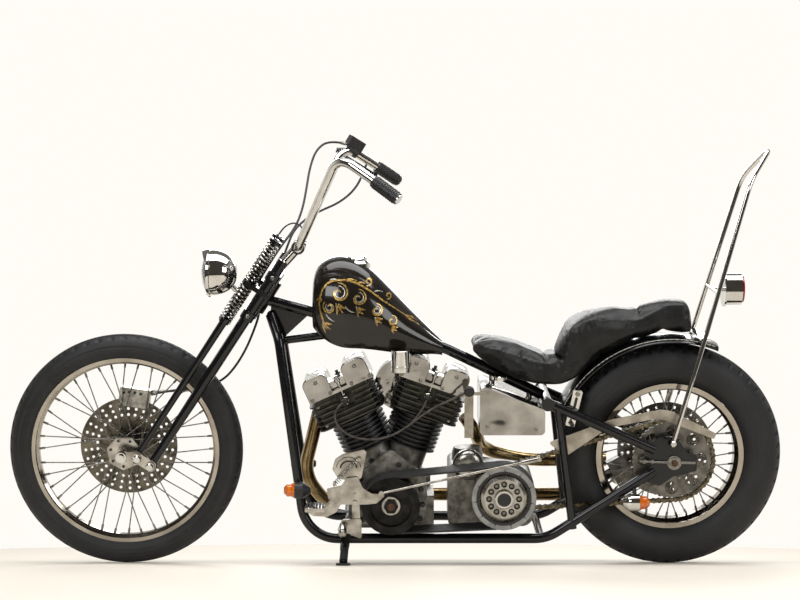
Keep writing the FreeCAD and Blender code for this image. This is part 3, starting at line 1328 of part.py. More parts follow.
def signal_places():
    places = []
    for side in (-1, 1):
        places.append((Vector(D.front_signal_x, side * D.front_signal_side, D.front_signal_z), 1))
        places.append((Vector(D.rear_signal_x, side * D.rear_signal_side, D.rear_signal_z), -1))
    return places


def make_signals():
    """Bullet bodies with a stalk to the frame; the open end takes the lens."""
    bodies = []
    for place, back in signal_places():
        drum = Part.makeCylinder(D.signal_r, D.signal_long - D.signal_nose, place,
                                 X_AXIS * back)
        nose = Part.makeCone(D.signal_r, D.signal_r / 3, D.signal_nose,
                             place + X_AXIS * back * (D.signal_long - D.signal_nose),
                             X_AXIS * back)
        middle = place + X_AXIS * back * (D.signal_long / 3)
        if back > 0:
            root = Vector(D.front_stalk_x, math.copysign(D.front_stalk_side, middle.y), middle.z)
        else:
            root = Vector(D.rear_stalk_x, math.copysign(D.axle_side, middle.y), D.rear_stalk_z)
        knee = Vector(root.x, middle.y, middle.z)
        stalk = rod(middle, knee, D.signal_stalk_r)
        foot = rod(knee, root, D.signal_stalk_r)
        ball = Part.makeSphere(D.signal_stalk_r, knee)
        bodies.append(drum.multiFuse([nose, stalk, foot, ball]))
    return Part.makeCompound(bodies).cut(LEFT_RAIL).cut(RIGHT_RAIL)


def make_signal_lenses():
    lenses = []
    for place, back in signal_places():
        start = place - X_AXIS * back * D.running_gap
        lenses.append(Part.makeCone(D.signal_r, D.signal_r * 0.8, D.signal_lens_thick, start,
                                    X_AXIS * -back))
    return Part.makeCompound(lenses)


shape_node("turn_signals", make_signals())
shape_node("signal_lenses", make_signal_lenses())

# Exhaust: both pipes run to the right and end side by side
D.add(pipe_r=20, pipe_wall=2, pipe_side=150, pipe_front_x=-281, front_port_x=-236,
      front_port_z=446, front_elbow_z=262, pipe_turn_x=-212, front_pipe_low=166,
      rear_port_x=200, rear_port_z=438, rear_elbow_x=236, rear_elbow_z=382, rear_pipe_low=274,
      pipe_end_x=640, port_side=34)


def make_exhausts():
    """Two bent tubes from the heads' ports, hollow at their open ends."""
    outside = D.pipe_side + D.overrun
    front = [Vector(D.front_port_x, D.port_side, D.front_port_z),
             Vector(D.pipe_front_x, D.port_side, D.front_elbow_z),
             Vector(D.pipe_turn_x, D.port_side + D.overrun, D.front_pipe_low - D.pipe_wall),
             Vector(D.pipe_turn_x + D.overrun, outside, D.front_pipe_low),
             Vector(D.pipe_end_x, outside, D.front_pipe_low)]
    rear = [Vector(D.rear_port_x, D.port_side, D.rear_port_z),
            Vector(D.rear_elbow_x, D.port_side + D.overrun, D.rear_elbow_z),
            Vector(D.rear_elbow_x + D.overrun, D.pipe_side, D.rear_pipe_low + 2 * D.pipe_r),
            Vector(D.rear_elbow_x + D.pipe_side, outside, D.rear_pipe_low),
            Vector(D.pipe_end_x, outside, D.rear_pipe_low)]
    pipes = []
    for route in (front, rear):
        bends = cord_radii(route)
        pipe = bent_tube(route, bends, D.pipe_r)
        hollow = Part.makeCylinder(D.pipe_r - D.pipe_wall, D.pipe_side,
                                   route[-1] - X_AXIS * D.pipe_side + X_AXIS, X_AXIS)
        pipes.append(pipe.cut(hollow))
    return Part.makeCompound(pipes).cut(HEADS)


shape_node("exhaust_pipes", make_exhausts())

# Oil tank under the seat, and the timing side, air cleaner and controls on the right
D.add(oil_front=240, oil_back=430, oil_left=-116, oil_right=96, oil_top_front=560,
      oil_top_back=486, oil_low=412, oil_round=14, lug_r=9, timing_thick=32, timing_r=74,
      timing_back=118, timing_round=22, tube_side=64, push_r=9, push_low=232, push_high=440,
      cleaner_x=10, cleaner_z=520, cleaner_r=78, cleaner_near=106, cleaner_thick=46,
      carb_r=22)


def make_oil_tank():
    corners = [(D.oil_front, D.oil_low), (D.oil_back, D.oil_low),
               (D.oil_back, D.oil_top_back), (D.oil_front, D.oil_top_front)]
    tank = side_plate(corners, [D.oil_round] * 4, D.oil_left, D.oil_right)
    lugs = [Part.makeCylinder(D.lug_r, D.oil_top_front - D.oil_low,
                              Vector(x, 0, (D.oil_low + D.oil_top_back) / 2))
            for x in (D.oil_front + 2 * D.overrun, D.oil_back - 2 * D.overrun)]
    body = tank.multiFuse(lugs).cut(FRAME_SPINE)
    return max(body.Solids, key=lambda solid: solid.Volume)


def make_timing_side():
    """Cover on the right of the case with four pushrod tubes up to the heads."""
    near = D.case_half
    far = near + D.timing_thick
    round_part = side_disc(CRANK, D.timing_r, near, far)
    corners = [(D.crank_x, D.crank_z - D.timing_r / 2), (D.crank_x + D.timing_back,
               D.crank_z - D.timing_r / 2), (D.crank_x + D.timing_back, D.crank_z + D.timing_r / 2),
               (D.crank_x, D.crank_z + D.timing_r)]
    tail = side_plate(corners, [0, D.timing_round, D.timing_round, 0], near, far)
    tubes = []
    for lean in (-1, 1):
        for spread in (-1, 1):
            low = CRANK + Vector(lean * D.timing_r / 2 + spread * D.push_r * 1.4,
                                 near + D.timing_thick / 2, D.timing_r / 2)
            up = cylinder_place(lean).multVec(Vector(spread * D.push_r * 2.4, near + D.push_r,
                                                     D.barrel_top - D.fin_thick))
            tubes.append(rod(low, up, D.push_r))
    return round_part.multiFuse([tail] + tubes)


def make_air_cleaner():
    """Round air cleaner with the carburettor between it and the vee."""
    place = Vector(D.cleaner_x, 0, D.cleaner_z)
    drum = side_disc(place, D.cleaner_r, D.cleaner_near, D.cleaner_near + D.cleaner_thick)
    cap = Part.makeCone(D.cleaner_r, 0.7 * D.cleaner_r, D.push_r, Vector(
        place.x, D.cleaner_near + D.cleaner_thick, place.z), Y_AXIS)
    carb = side_disc(place, D.carb_r, D.tube_side / 2, D.cleaner_near)
    return drum.multiFuse([cap, carb]).cut(HEADS)


shape_node("oil_tank", make_oil_tank())
shape_node("timing_side", make_timing_side())
shape_node("air_cleaner", make_air_cleaner())

# Left controls: foot clutch plate, its spring, pedals and the long rod to the clutch arm
D.add(clutch_plate_near=-207, clutch_plate_thick=6, quad_x=-140, quad_z=330, quad_half=48,
      pedal_x=-215, pedal_z=232, pedal_long=96, pedal_high=26, pedal_wide=62, link_r=4,
      rod_front_x=-56, rod_front_z=258, rod_back_x=360, rod_back_z=346, rod_side=-232,
      foot_spring_r=7)


def make_foot_clutch():
    """Quarter plate on a bracket from the down tube, with the pedal and the hooked lever."""
    low = D.clutch_plate_near - D.clutch_plate_thick
    half = D.quad_half
    plate = side_plate([(D.quad_x - half, D.quad_z - half), (D.quad_x + half, D.quad_z - half),
                        (D.quad_x + half * 0.9, D.quad_z + half), (D.quad_x - half, D.quad_z + half * 0.6)],
                       [10, 14, 16, 20], low, D.clutch_plate_near)
    lever = side_plate([(D.quad_x - half * 1.2, D.quad_z - 2 * half), (D.quad_x + half, D.quad_z - 2.1 * half),
                        (D.quad_x + 2.1 * half, D.quad_z - 1.9 * half), (D.quad_x + 2 * half, D.quad_z - 1.4 * half),
                        (D.quad_x + half, D.quad_z - half * 0.6), (D.quad_x - half, D.quad_z - half * 1.2)],
                       [10, 14, 20, 8, 12, 12], low - D.clutch_plate_thick, low)
    pedal = box_between(
        Vector(D.pedal_x - D.pedal_long / 2, low - D.pedal_wide, D.pedal_z - D.pedal_high / 2),
        Vector(D.pedal_x + D.pedal_long / 2, low - D.clutch_plate_thick,
               D.pedal_z + D.pedal_high / 2))
    spring = rod(Vector(D.quad_x - half, low - 2 * D.foot_spring_r, D.quad_z - half),
                 Vector(D.quad_x + half * 0.7, low - 2 * D.foot_spring_r, D.quad_z + half * 0.7),
                 D.foot_spring_r)
    pins = [side_disc(Vector(D.quad_x + sign * half * 0.7, 0, D.quad_z + sign * half * 0.7),
                      D.link_r, low - 2.6 * D.foot_spring_r, low + D.clutch_plate_thick / 2)
            for sign in (-1, 1)]
    slope = (D.low_front_x - D.down_x) / (D.low_front_z - D.down_z)
    mount_z = D.quad_z
    mount = Vector(D.down_x + slope * (mount_z - D.down_z), -D.low_side + D.rail_r, mount_z)
    arm = rod(Vector(D.quad_x, D.clutch_plate_near - D.link_r, D.quad_z), mount + Vector(D.rail_r, 0, 0),
              2 * D.link_r)
    arm = arm.cut(LEFT_RAIL)
    arm = max(arm.Solids, key=lambda solid: solid.Volume)
    body = plate.multiFuse([lever, pedal, spring, arm] + pins)
    return body


def make_clutch_rod():
    """Long rod from the foot lever to the clutch arm, with a clevis at the rear."""
    front = Vector(D.rod_front_x, D.rod_side, D.rod_front_z)
    back = Vector(D.rod_back_x, D.rod_side, D.rod_back_z)
    bar = rod(front, back, D.link_r)
    eye = side_disc(front, 2.2 * D.link_r, D.rod_side - 1.5 * D.link_r, D.rod_side + 1.5 * D.link_r)
    foot = side_disc(front, D.link_r, D.rod_side, D.clutch_plate_near - 2 * D.clutch_plate_thick
                     - D.running_gap)
    clevis = rod(back, back + (back - front).normalize() * 12 * D.link_r, 1.8 * D.link_r)
    return bar.multiFuse([eye, foot, clevis])


shape_node("foot_clutch", Part.makeCompound([make_foot_clutch(), make_clutch_rod()]))

# Right foot control: brake pedal and peg on the bottom rail
D.add(peg_r=13, peg_long=96, peg_x=-150, peg_z=150, brake_pedal_long=110)


def make_brake_pedal():
    """Peg straight out of the bottom rail, with a pivoted arm and pad in front of it."""
    start = Vector(D.peg_x, D.low_side + D.rail_r + D.running_gap, D.low_front_z)
    peg = rod(start, start + Vector(0, D.peg_long + D.overrun, 0), D.peg_r)
    pivot = start + Vector(0, D.overrun, 0)
    toe = pivot + Vector(-D.brake_pedal_long, 0, D.overrun)
    arm = rod(pivot, toe, 1.6 * D.link_r)
    pad = box_between(toe + Vector(-D.overrun, -D.link_r, -D.link_r),
                      toe + Vector(D.overrun, D.pedal_wide, D.link_r))
    return peg.multiFuse([arm, pad])


shape_node("brake_pedal", make_brake_pedal())

# Brake calipers with their brackets
D.add(caliper_gap=2, caliper_thick=26, caliper_long=92, caliper_high=56, front_caliper_turn=8,
      torque_up=-390, rear_caliper_turn=-118, pad_bite=24)


def make_caliper(disc_r, place, thick, turn):
    """Split block astride the disc's edge, open inwards with a running gap."""
    near = place - D.caliper_gap - thick
    far = place + D.disc_thick + D.caliper_gap + thick
    block = Part.makeBox(D.caliper_long, far - near, D.caliper_high,
                         Vector(-D.caliper_long / 2, near, disc_r - D.pad_bite))
    slot = Part.makeCylinder(disc_r + D.caliper_gap, D.disc_thick + 2 * D.caliper_gap,
                             Vector(0, place - D.caliper_gap, 0), Y_AXIS)
    block = block.cut(slot)
    block.Placement = Placement(Vector(), Rotation(Y_AXIS, turn))
    return block


def make_front_caliper():
    """Caliper with a torque link inside the fork legs, pinned to the rigid leg."""
    block = make_caliper(D.front_disc_r, D.front_disc_place, D.caliper_thick / 2,
                         D.front_caliper_turn)
    block.translate(FRONT_AXLE)
    side = D.leg_side - D.leg_high_r - D.link_r
    start = Vector(FRONT_AXLE.x + D.caliper_long / 3, side,
                   FRONT_AXLE.z + D.front_disc_r + D.caliper_high / 4)
    ear = rod(Vector(start.x, D.front_disc_place + D.disc_thick + 2 * D.caliper_gap, start.z),
              start + Vector(0, D.link_r, 0), 2 * D.link_r)
    end = fork_point(D.leg_back, side, D.torque_up)
    link = rod(start, end, D.link_r)
    tip = rod(end - Vector(0, D.link_r, 0),
              Vector(end.x, D.leg_side - D.leg_low_r - D.running_gap, end.z), 2 * D.link_r)
    leg = leg_bar(1, D.running_gap)
    leg.Placement = AT_NECK
    return block.multiFuse([ear, link, tip]).cut(leg)


def make_rear_caliper():
    block = make_caliper(D.rear_disc_r, D.rear_disc_place, D.caliper_thick / 2,
                         D.rear_caliper_turn)
    block.translate(REAR_AXLE)
    return block


shape_node("front_caliper", make_front_caliper())
shape_node("rear_caliper", make_rear_caliper())

# Master cylinder and lever on the right of the bar
D.add(master_share=0.30, master_long=52, master_high=34, master_deep=30, lever_long=150,
      lever_r=5,
      lever_reach=48)


def make_brake_master():
    """Collar on the bar with the reservoir box, and the lever ahead of the grip."""
    low = Vector(D.bar_rise_x, D.bar_rise_side, D.bar_rise_z)
    high = Vector(D.grip_x, D.grip_side, D.grip_z)
    along = (high - low).normalize()
    ahead = along.cross(Vector(0, 0, 1)).normalize() * -1
    middle = low + along * (high - low).Length * D.master_share
    collar = rod(middle - along * D.grip_r, middle + along * D.grip_r, D.bar_r + D.tail_wall)
    box = Part.makeBox(D.master_long, D.master_deep, D.master_high,
                       Vector(-D.master_long / 2, -D.master_deep / 2, 0))
    box.Placement = Placement(middle + Vector(0, 0, D.bar_r / 2), Rotation(X_AXIS, along))
    start = middle + Vector(-D.lever_reach, 0, 0)
    pivot = rod(middle, start, 2 * D.lever_r)
    end = start + along * D.lever_long
    lever = rod(start, end, D.lever_r)
    ball = Part.makeSphere(2 * D.lever_r, end)
    body = collar.multiFuse([box, pivot, lever, ball])
    return body.cut(HANDLEBAR).cut(GRIPS)


shape_node("brake_master", make_brake_master())

# Ignition coil in its chrome can, and the switch panel by the oil tank
D.add(coil_x=10, coil_z=596, coil_high=64, coil_r=27, coil_side=-98, switch_x=208,
      switch_z=545, switch_r=14, panel_thick=4, panel_half=13, panel_low=405)


def make_coil():
    can = Part.makeCylinder(D.coil_r, D.coil_high, Vector(D.coil_x, D.coil_side, D.coil_z))
    back = D.coil_side + D.coil_r
    bracket = box_between(Vector(D.coil_x - D.coil_r / 3, back - D.coil_r / 2, D.coil_z),
                          Vector(D.coil_x + D.coil_r, -D.cover_half_deep - D.shaft_plug_high - D.running_gap,
                                 D.coil_z + D.coil_r / 2))
    return can.fuse(bracket)


def make_switch_panel():
    near = D.oil_left - D.panel_thick
    strap = box_between(Vector(D.switch_x - D.panel_half, near, D.panel_low),
                        Vector(D.switch_x + D.panel_half, D.oil_left, D.switch_z))
    knob = side_disc(Vector(D.switch_x, 0, D.switch_z), D.switch_r, near - D.switch_r, D.oil_left)
    arm = box_between(Vector(D.switch_x, near, D.switch_z - D.switch_r),
                      Vector(D.oil_front + D.overrun, D.oil_left - D.running_gap, D.switch_z - D.link_r))
    return strap.multiFuse([knob, arm])


shape_node("ignition_parts", Part.makeCompound([make_coil(), make_switch_panel()]))

# Side stand: a bracket on the left rail and a leg that folds back along it
D.add(stand_pivot_x=-152, stand_pivot_side=-163, stand_pivot_z=96, stand_r=8, stand_long=112,
      stand_foot_r=21, stand_foot_thick=7, stand_pin_r=6, stand_eye_r=13, stand_eye_half=9,
      stand_ear=8, stand_dir_x=-0.05, stand_dir_side=-0.87, fold_dir_x=0.96,
      fold_dir_side=-0.14)

STAND_PIVOT = Vector(D.stand_pivot_x, D.stand_pivot_side, D.stand_pivot_z)
lean_turn = Rotation(X_AXIS, D.lean)
LEANED_DOWN = lean_turn.inverted().multVec(Vector(0, 0, -1))


def direction(back, side):
    """Unit direction with the given parts along X and Y, pointing down."""
    return Vector(back, side, -math.sqrt(1 - back ** 2 - side ** 2))


def ground_gap(point):
    """Height of a point above the floor once the motorcycle leans."""
    tyre = D.rear_tyre_section
    floor = tyre * (math.cos(math.radians(D.lean)) - 1)
    return lean_turn.multVec(point).z - floor


OUT = direction(D.stand_dir_x, D.stand_dir_side)
FOLDED = direction(D.fold_dir_x, D.fold_dir_side)
STAND_AXIS = OUT.cross(FOLDED).normalize()


def make_stand_bracket():
    """Two ears on the left rail with the pin that the leg swings on."""
    rail = Vector(D.stand_pivot_x, -D.low_side, D.low_front_z)
    toward = rail - STAND_PIVOT
    toward = toward - STAND_AXIS * toward.dot(STAND_AXIS)
    parts = []
    for sign in (-1, 1):
        face = STAND_PIVOT + STAND_AXIS * (sign * (D.stand_eye_half + D.running_gap))
        start = face if sign > 0 else face - STAND_AXIS * D.stand_ear
        ear = Part.makeCylinder(D.stand_eye_r, D.stand_ear, start, STAND_AXIS)
        web = Part.makeBox(toward.Length, 2 * D.stand_eye_r, D.stand_ear,
                           Vector(0, -D.stand_eye_r, 0))
        web.Placement = Placement(start, Rotation(toward, STAND_AXIS.cross(toward), STAND_AXIS,
                                                  "ZXY"))
        parts += [ear, web]
    pin = Part.makeCylinder(D.stand_pin_r, 2 * (D.stand_eye_half + D.stand_ear),
                            STAND_PIVOT - STAND_AXIS * (D.stand_eye_half + D.stand_ear), STAND_AXIS)
    return pin.multiFuse(parts)


def make_side_stand():
    """Eye, straight leg and a flat foot pad that lies on the floor."""
    drop = ground_gap(STAND_PIVOT)
    cosine = OUT.dot(LEANED_DOWN)
    reach = (drop - D.stand_foot_thick) / cosine
    eye = Part.makeCylinder(D.stand_eye_r, 2 * D.stand_eye_half,
                            STAND_PIVOT - STAND_AXIS * D.stand_eye_half, STAND_AXIS)
    end = STAND_PIVOT + OUT * reach
    leg = rod(STAND_PIVOT, end, D.stand_r)
    foot = Part.makeCylinder(D.stand_foot_r, D.stand_foot_thick, end, LEANED_DOWN)
    stand = eye.multiFuse([leg, foot])
    bore = Part.makeCylinder(D.stand_pin_r + D.running_gap, 4 * D.stand_eye_half,
                             STAND_PIVOT - STAND_AXIS * 2 * D.stand_eye_half, STAND_AXIS)
    return stand.cut(bore)


nodes["frame_rail_left"][0].Shape = LEFT_RAIL.fuse(make_stand_bracket())
shape_node("side_stand", make_side_stand())

# The whole motorcycle leans onto its stand; its origin is the middle of its footprint
doc.recompute()
problems = [item.Name for item in doc.Objects
            if {"Invalid", "Error"} & set(item.State)]
if problems:
    raise SystemExit("failed objects: " + ", ".join(problems))

shapes = {}
for label, (thing, placement) in nodes.items():
    shape = thing.Shape.copy()
    shape.Placement = placement.multiply(shape.Placement)
    shapes[label] = shape
leaned = Part.makeCompound(list(shapes.values()))
leaned.Placement = Placement(Vector(), lean_turn)
box = leaned.optimalBoundingBox(False)
STAND = Placement(Vector(-box.Center.x, -box.Center.y, -box.ZMin), lean_turn)

for label, (thing, placement) in nodes.items():
    thing.Placement = STAND.multiply(placement.multiply(thing.Placement))
doc.recompute()

for label, (thing, placement) in nodes.items():
    if thing.Shape.isNull() or not thing.Shape.isValid():
        raise SystemExit("bad shape: " + label)

os.makedirs("parts", exist_ok=True)
for label, (thing, placement) in nodes.items():
    thing.Shape.exportStep("parts/%s.step" % label)
print(len(nodes), "nodes;", "box", box)
print("stand pivot", STAND.multVec(STAND_PIVOT), "axis", lean_turn.multVec(STAND_AXIS))
print("neck", STAND.multVec(NECK), "steering axis",
      lean_turn.multVec(AT_NECK.Rotation.multVec(Z_AXIS)))
print("front axle", STAND.multVec(FRONT_AXLE), "rear axle", STAND.multVec(REAR_AXLE),
      "axle direction", lean_turn.multVec(Y_AXIS))
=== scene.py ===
import math

import bmesh
import bpy
from mathutils import Matrix, Vector
from mathutils.bvhtree import BVHTree


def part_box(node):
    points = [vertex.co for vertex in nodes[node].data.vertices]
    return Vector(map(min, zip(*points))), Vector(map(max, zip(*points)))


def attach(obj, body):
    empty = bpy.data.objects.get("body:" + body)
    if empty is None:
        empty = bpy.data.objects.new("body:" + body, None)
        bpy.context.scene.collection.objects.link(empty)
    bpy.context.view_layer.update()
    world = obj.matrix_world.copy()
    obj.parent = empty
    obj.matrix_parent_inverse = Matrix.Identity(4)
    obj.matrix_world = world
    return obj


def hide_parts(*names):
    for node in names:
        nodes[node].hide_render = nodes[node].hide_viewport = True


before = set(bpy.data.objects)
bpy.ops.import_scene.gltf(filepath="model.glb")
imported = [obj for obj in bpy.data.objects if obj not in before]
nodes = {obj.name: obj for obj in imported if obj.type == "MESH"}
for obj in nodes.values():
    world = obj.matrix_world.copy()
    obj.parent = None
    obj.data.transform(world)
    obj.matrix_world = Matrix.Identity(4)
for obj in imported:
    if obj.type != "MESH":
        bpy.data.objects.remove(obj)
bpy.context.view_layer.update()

# The photographer's view: a long lens low beside the left of the motorcycle, looking a
# little up. It is placed from the rear axle, and its picture is 800 pixels wide.
LEAN = math.radians(14)
CAMERA_FROM_REAR_AXLE = Vector((-0.7970, -5.3974, -0.1156))
CAMERA_PITCH = math.radians(6.07)
FOCAL_PIXELS = 1807
PICTURE_PIXELS = 800
SENSOR = 36


def middle(node):
    """Middle of a CAD node's box."""
    low, high = (Vector(corner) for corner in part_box(node))
    return (low + high) / 2


REAR_AXLE = middle("rear_tyre")
REAR_TYRE_RADIUS = 333
WHEELBASE = 1610
# Places are given on the upright motorcycle, in millimetres, and this leans them over
LEANED = (Matrix.Translation(REAR_AXLE) @ Matrix.Rotation(LEAN, 4, "X")
          @ Matrix.Scale(0.001, 4) @ Matrix.Translation((-WHEELBASE / 2, 0, -REAR_TYRE_RADIUS)))

camera_data = bpy.data.cameras.new("photo_camera")
camera_data.sensor_width = SENSOR
camera_data.lens = FOCAL_PIXELS / PICTURE_PIXELS * SENSOR
camera = bpy.data.objects.new("photo_camera", camera_data)
camera.location = REAR_AXLE + CAMERA_FROM_REAR_AXLE
camera.rotation_euler = (math.pi / 2 + CAMERA_PITCH, 0, 0)
bpy.context.collection.objects.link(camera)
bpy.context.scene.camera = camera
bpy.context.scene.view_settings.view_transform = "Standard"


# The studio: a pale round floor, white all round, large soft lamps overhead and to the sides.
# Bright metal sees the white wall and ceiling, and the dim end of the room by the camera.
def linear(colour):
    """A colour written as sRGB hex, turned to the linear values that a shader takes."""
    parts = [int(colour[i:i + 2], 16) / 255 for i in (1, 3, 5)]
    return [c / 12.92 if c <= 0.04045 else ((c + 0.055) / 1.055) ** 2.4 for c in parts] + [1]


def add_node(tree, kind, links=None, **settings):
    """Adds a node, sets its attributes, and fills its inputs with values or with links."""
    made = tree.nodes.new(kind)
    for name, value in settings.items():
        setattr(made, name, value)
    for name, value in (links or {}).items():
        if isinstance(value, bpy.types.NodeSocket):
            tree.links.new(value, made.inputs[name])
        else:
            made.inputs[name].default_value = value
    return made


def new_material(name):
    """Empty material with its tree and output node."""
    material = bpy.data.materials.new(name)
    material.use_nodes = True
    material.node_tree.nodes.clear()
    output = add_node(material.node_tree, "ShaderNodeOutputMaterial")
    return material, material.node_tree, output


FLOOR_RADIUS = 2.1
FLOOR_COLOUR = "#DDD5C8"
ROOM_WHITE = "#FFFCF6"
ROOM_DIM = "#4A4641"

floor_mesh = bpy.data.meshes.new("studio_floor")
floor_bm = bmesh.new()
bmesh.ops.create_circle(floor_bm, cap_ends=True, segments=96, radius=FLOOR_RADIUS)
floor_bm.to_mesh(floor_mesh)
floor_bm.free()
floor = bpy.data.objects.new("studio_floor", floor_mesh)
bpy.context.collection.objects.link(floor)

floor_paint, tree, output = new_material("studio_floor_paint")
shader = add_node(tree, "ShaderNodeBsdfPrincipled",
                  {"Base Color": linear(FLOOR_COLOUR), "Roughness": 0.5})
tree.links.new(shader.outputs[0], output.inputs["Surface"])
floor_mesh.materials.append(floor_paint)

world = bpy.data.worlds.new("studio_room")
bpy.context.scene.world = world
world.use_nodes = True
tree = world.node_tree
tree.nodes.clear()
output = add_node(tree, "ShaderNodeOutputWorld")
rays = add_node(tree, "ShaderNodeLightPath")
place = add_node(tree, "ShaderNodeTexCoord")
axes = add_node(tree, "ShaderNodeSeparateXYZ", {"Vector": place.outputs["Generated"]})
wall = add_node(tree, "ShaderNodeMapRange",
                {"Value": axes.outputs["Y"], "From Min": -0.30, "From Max": 0.20})
ceiling = add_node(tree, "ShaderNodeMapRange",
                   {"Value": axes.outputs["Z"], "From Min": 0.25, "From Max": 0.70,
                    "To Min": 1.0, "To Max": 0.18})
bright = add_node(tree, "ShaderNodeMath", {0: wall.outputs[0], 1: ceiling.outputs[0]},
                  operation="MULTIPLY")
room = add_node(tree, "ShaderNodeMix", {"Factor": bright.outputs[0], 6: linear(ROOM_DIM),
                                        7: linear(ROOM_WHITE)}, data_type="RGBA")
seen = add_node(tree, "ShaderNodeMath", {0: rays.outputs["Is Glossy Ray"],
                                         1: rays.outputs["Is Transmission Ray"]},
                operation="MAXIMUM")
ambient = add_node(tree, "ShaderNodeBackground", {"Color": linear("#FFFFFF"), "Strength": 0.40})
mirrored = add_node(tree, "ShaderNodeBackground", {"Color": room.outputs[2], "Strength": 1.0})
backdrop = add_node(tree, "ShaderNodeBackground", {"Color": linear(ROOM_WHITE), "Strength": 1.0})
glossy_mix = add_node(tree, "ShaderNodeMixShader", {0: seen.outputs[0], 1: ambient.outputs[0],
                                                    2: mirrored.outputs[0]})
camera_mix = add_node(tree, "ShaderNodeMixShader", {0: rays.outputs["Is Camera Ray"],
                                                    1: glossy_mix.outputs[0],
                                                    2: backdrop.outputs[0]})
tree.links.new(camera_mix.outputs[0], output.inputs["Surface"])

LAMPS = [("overhead", (0.1, -0.5, 3.0), (0, 0.1, 0.4), 3.6, 1.6, 100),
         ("photographer_side", (-2.2, -4.2, 2.3), (0, 0, 0.5), 2.2, 1.6, 90),
         ("tail_side", (2.9, -2.8, 1.5), (0.2, 0, 0.5), 1.4, 1.8, 45),
         ("behind", (0.3, 2.8, 2.3), (0, 0, 0.6), 3.0, 1.0, 60)]
for name, spot, target, wide, high, power in LAMPS:
    lamp_data = bpy.data.lights.new(name, "AREA")
    lamp_data.shape = "RECTANGLE"
    lamp_data.size = wide
    lamp_data.size_y = high
    lamp_data.energy = power
    lamp = bpy.data.objects.new(name, lamp_data)
    lamp.location = spot
    lamp.rotation_euler = (Vector(target) - Vector(spot)).to_track_quat("-Z", "Y").to_euler()
    bpy.context.collection.objects.link(lamp)


# Tyres: black rubber, the rear one wide and round, the front one slim. Both are moulded, with
# ribs round the sidewall, three grooves round the tread and notches along its shoulders.
def finish(name, dark, light, roughness, metallic=0.0, patch_mm=40, grain_mm=1.5,
           relief_mm=0.05, **sockets):
    """Surface that drifts between two shades and has a fine grain in its gloss and height."""
    material, tree, output = new_material(name)
    place = add_node(tree, "ShaderNodeTexCoord").outputs["Object"]
    patches = add_node(tree, "ShaderNodeTexNoise",
                       {"Vector": place, "Scale": 1000 / patch_mm, "Detail": 5.0})
    drift = add_node(tree, "ShaderNodeMapRange", {"Value": patches.outputs[0],
                                                  "From Min": 0.35, "From Max": 0.65})
    shade = add_node(tree, "ShaderNodeMix", {"Factor": drift.outputs[0], 6: linear(dark),
                                             7: linear(light)}, data_type="RGBA")
    grain = add_node(tree, "ShaderNodeTexNoise",
                     {"Vector": place, "Scale": 1000 / grain_mm, "Detail": 3.0})
    gloss = add_node(tree, "ShaderNodeMapRange",
                     {"Value": grain.outputs[0], "From Min": 0.3, "From Max": 0.7,
                      "To Min": roughness[0], "To Max": roughness[1]})
    bump = add_node(tree, "ShaderNodeBump", {"Height": grain.outputs[0], "Strength": 1.0,
                                             "Distance": relief_mm / 1000})
    links = {"Base Color": shade.outputs[2], "Roughness": gloss.outputs[0],
             "Metallic": metallic, "Normal": bump.outputs[0]}
    links.update({key.replace("_", " "): value for key, value in sockets.items()})
    shader = add_node(tree, "ShaderNodeBsdfPrincipled", links)
    tree.links.new(shader.outputs[0], output.inputs["Surface"])
    return material


def dress(material, *names):
    """Gives CAD nodes their finish."""
    for name in names:
        slots = nodes[name].data.materials
        slots.clear()
        slots.append(material)


def add_piece(name, mesh, body, materials=(), matrix=LEANED, sharp_deg=35):
    """Puts a mesh made on the upright motorcycle in its leaned place, riding on a body."""
    mesh.name = name
    mesh.transform(matrix)
    for material in materials:
        mesh.materials.append(material)
    mesh.polygons.foreach_set("use_smooth", [True] * len(mesh.polygons))
    mesh.set_sharp_from_angle(angle=math.radians(sharp_deg))
    piece = bpy.data.objects.new(name, mesh)
    bpy.context.collection.objects.link(piece)
    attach(piece, body)
    return piece


def bridge(bm, rings, open_section=False):
    """Faces between each ring of corners and the next."""
    count = len(rings[0])
    for here, there in zip(rings, rings[1:]):
        for i in range(count - 1 if open_section else count):
            j = (i + 1) % count
            bm.faces.new((here[i], here[j], there[j], there[i]))


def closed_mesh(bm):
    """Merges doubles, turns the faces outwards and closes the bmesh into a mesh."""
    bmesh.ops.remove_doubles(bm, verts=bm.verts, dist=0.001)
    bmesh.ops.recalc_face_normals(bm, faces=bm.faces)
    mesh = bpy.data.meshes.new("shape")
    bm.to_mesh(mesh)
    bm.free()
    return mesh


def joined(meshes):
    """One closed mesh in place of several."""
    bm = bmesh.new()
    for mesh in meshes:
        bm.from_mesh(mesh)
        bpy.data.meshes.remove(mesh)
    return closed_mesh(bm)


# The tread by its angle off the crown, in degrees: the grooves, the notched shoulders, the
# fine cuts between and the ribbed wall. Its notches repeat by steps round the wheel.
TYRE_ROUNDS = 392
NOTCH_STEPS = 7
GROOVES = (0, 17)
GROOVE_HALF = 2.6
SHOULDER = (26, 46)
FINE_CUTS = (5, 13)
WALL_FROM = 76
WALL_RIBS = (78, 108)
RIB_HIGH = 0.9
ARC_STEPS = 96
BEAD_TUCK = 6


def tread_depth(off, step, depth):
    """How far the tread is cut in at an angle off the crown, on one of the steps round."""
    if any(abs(off - groove) < GROOVE_HALF for groove in GROOVES):
        return depth
    if SHOULDER[0] < off < SHOULDER[1] and step % NOTCH_STEPS < 2:
        return depth * 0.9
    if FINE_CUTS[0] < off < FINE_CUTS[1] and (step + int(off)) % (2 * NOTCH_STEPS) == 0:
        return depth * 0.8
    return 0.0


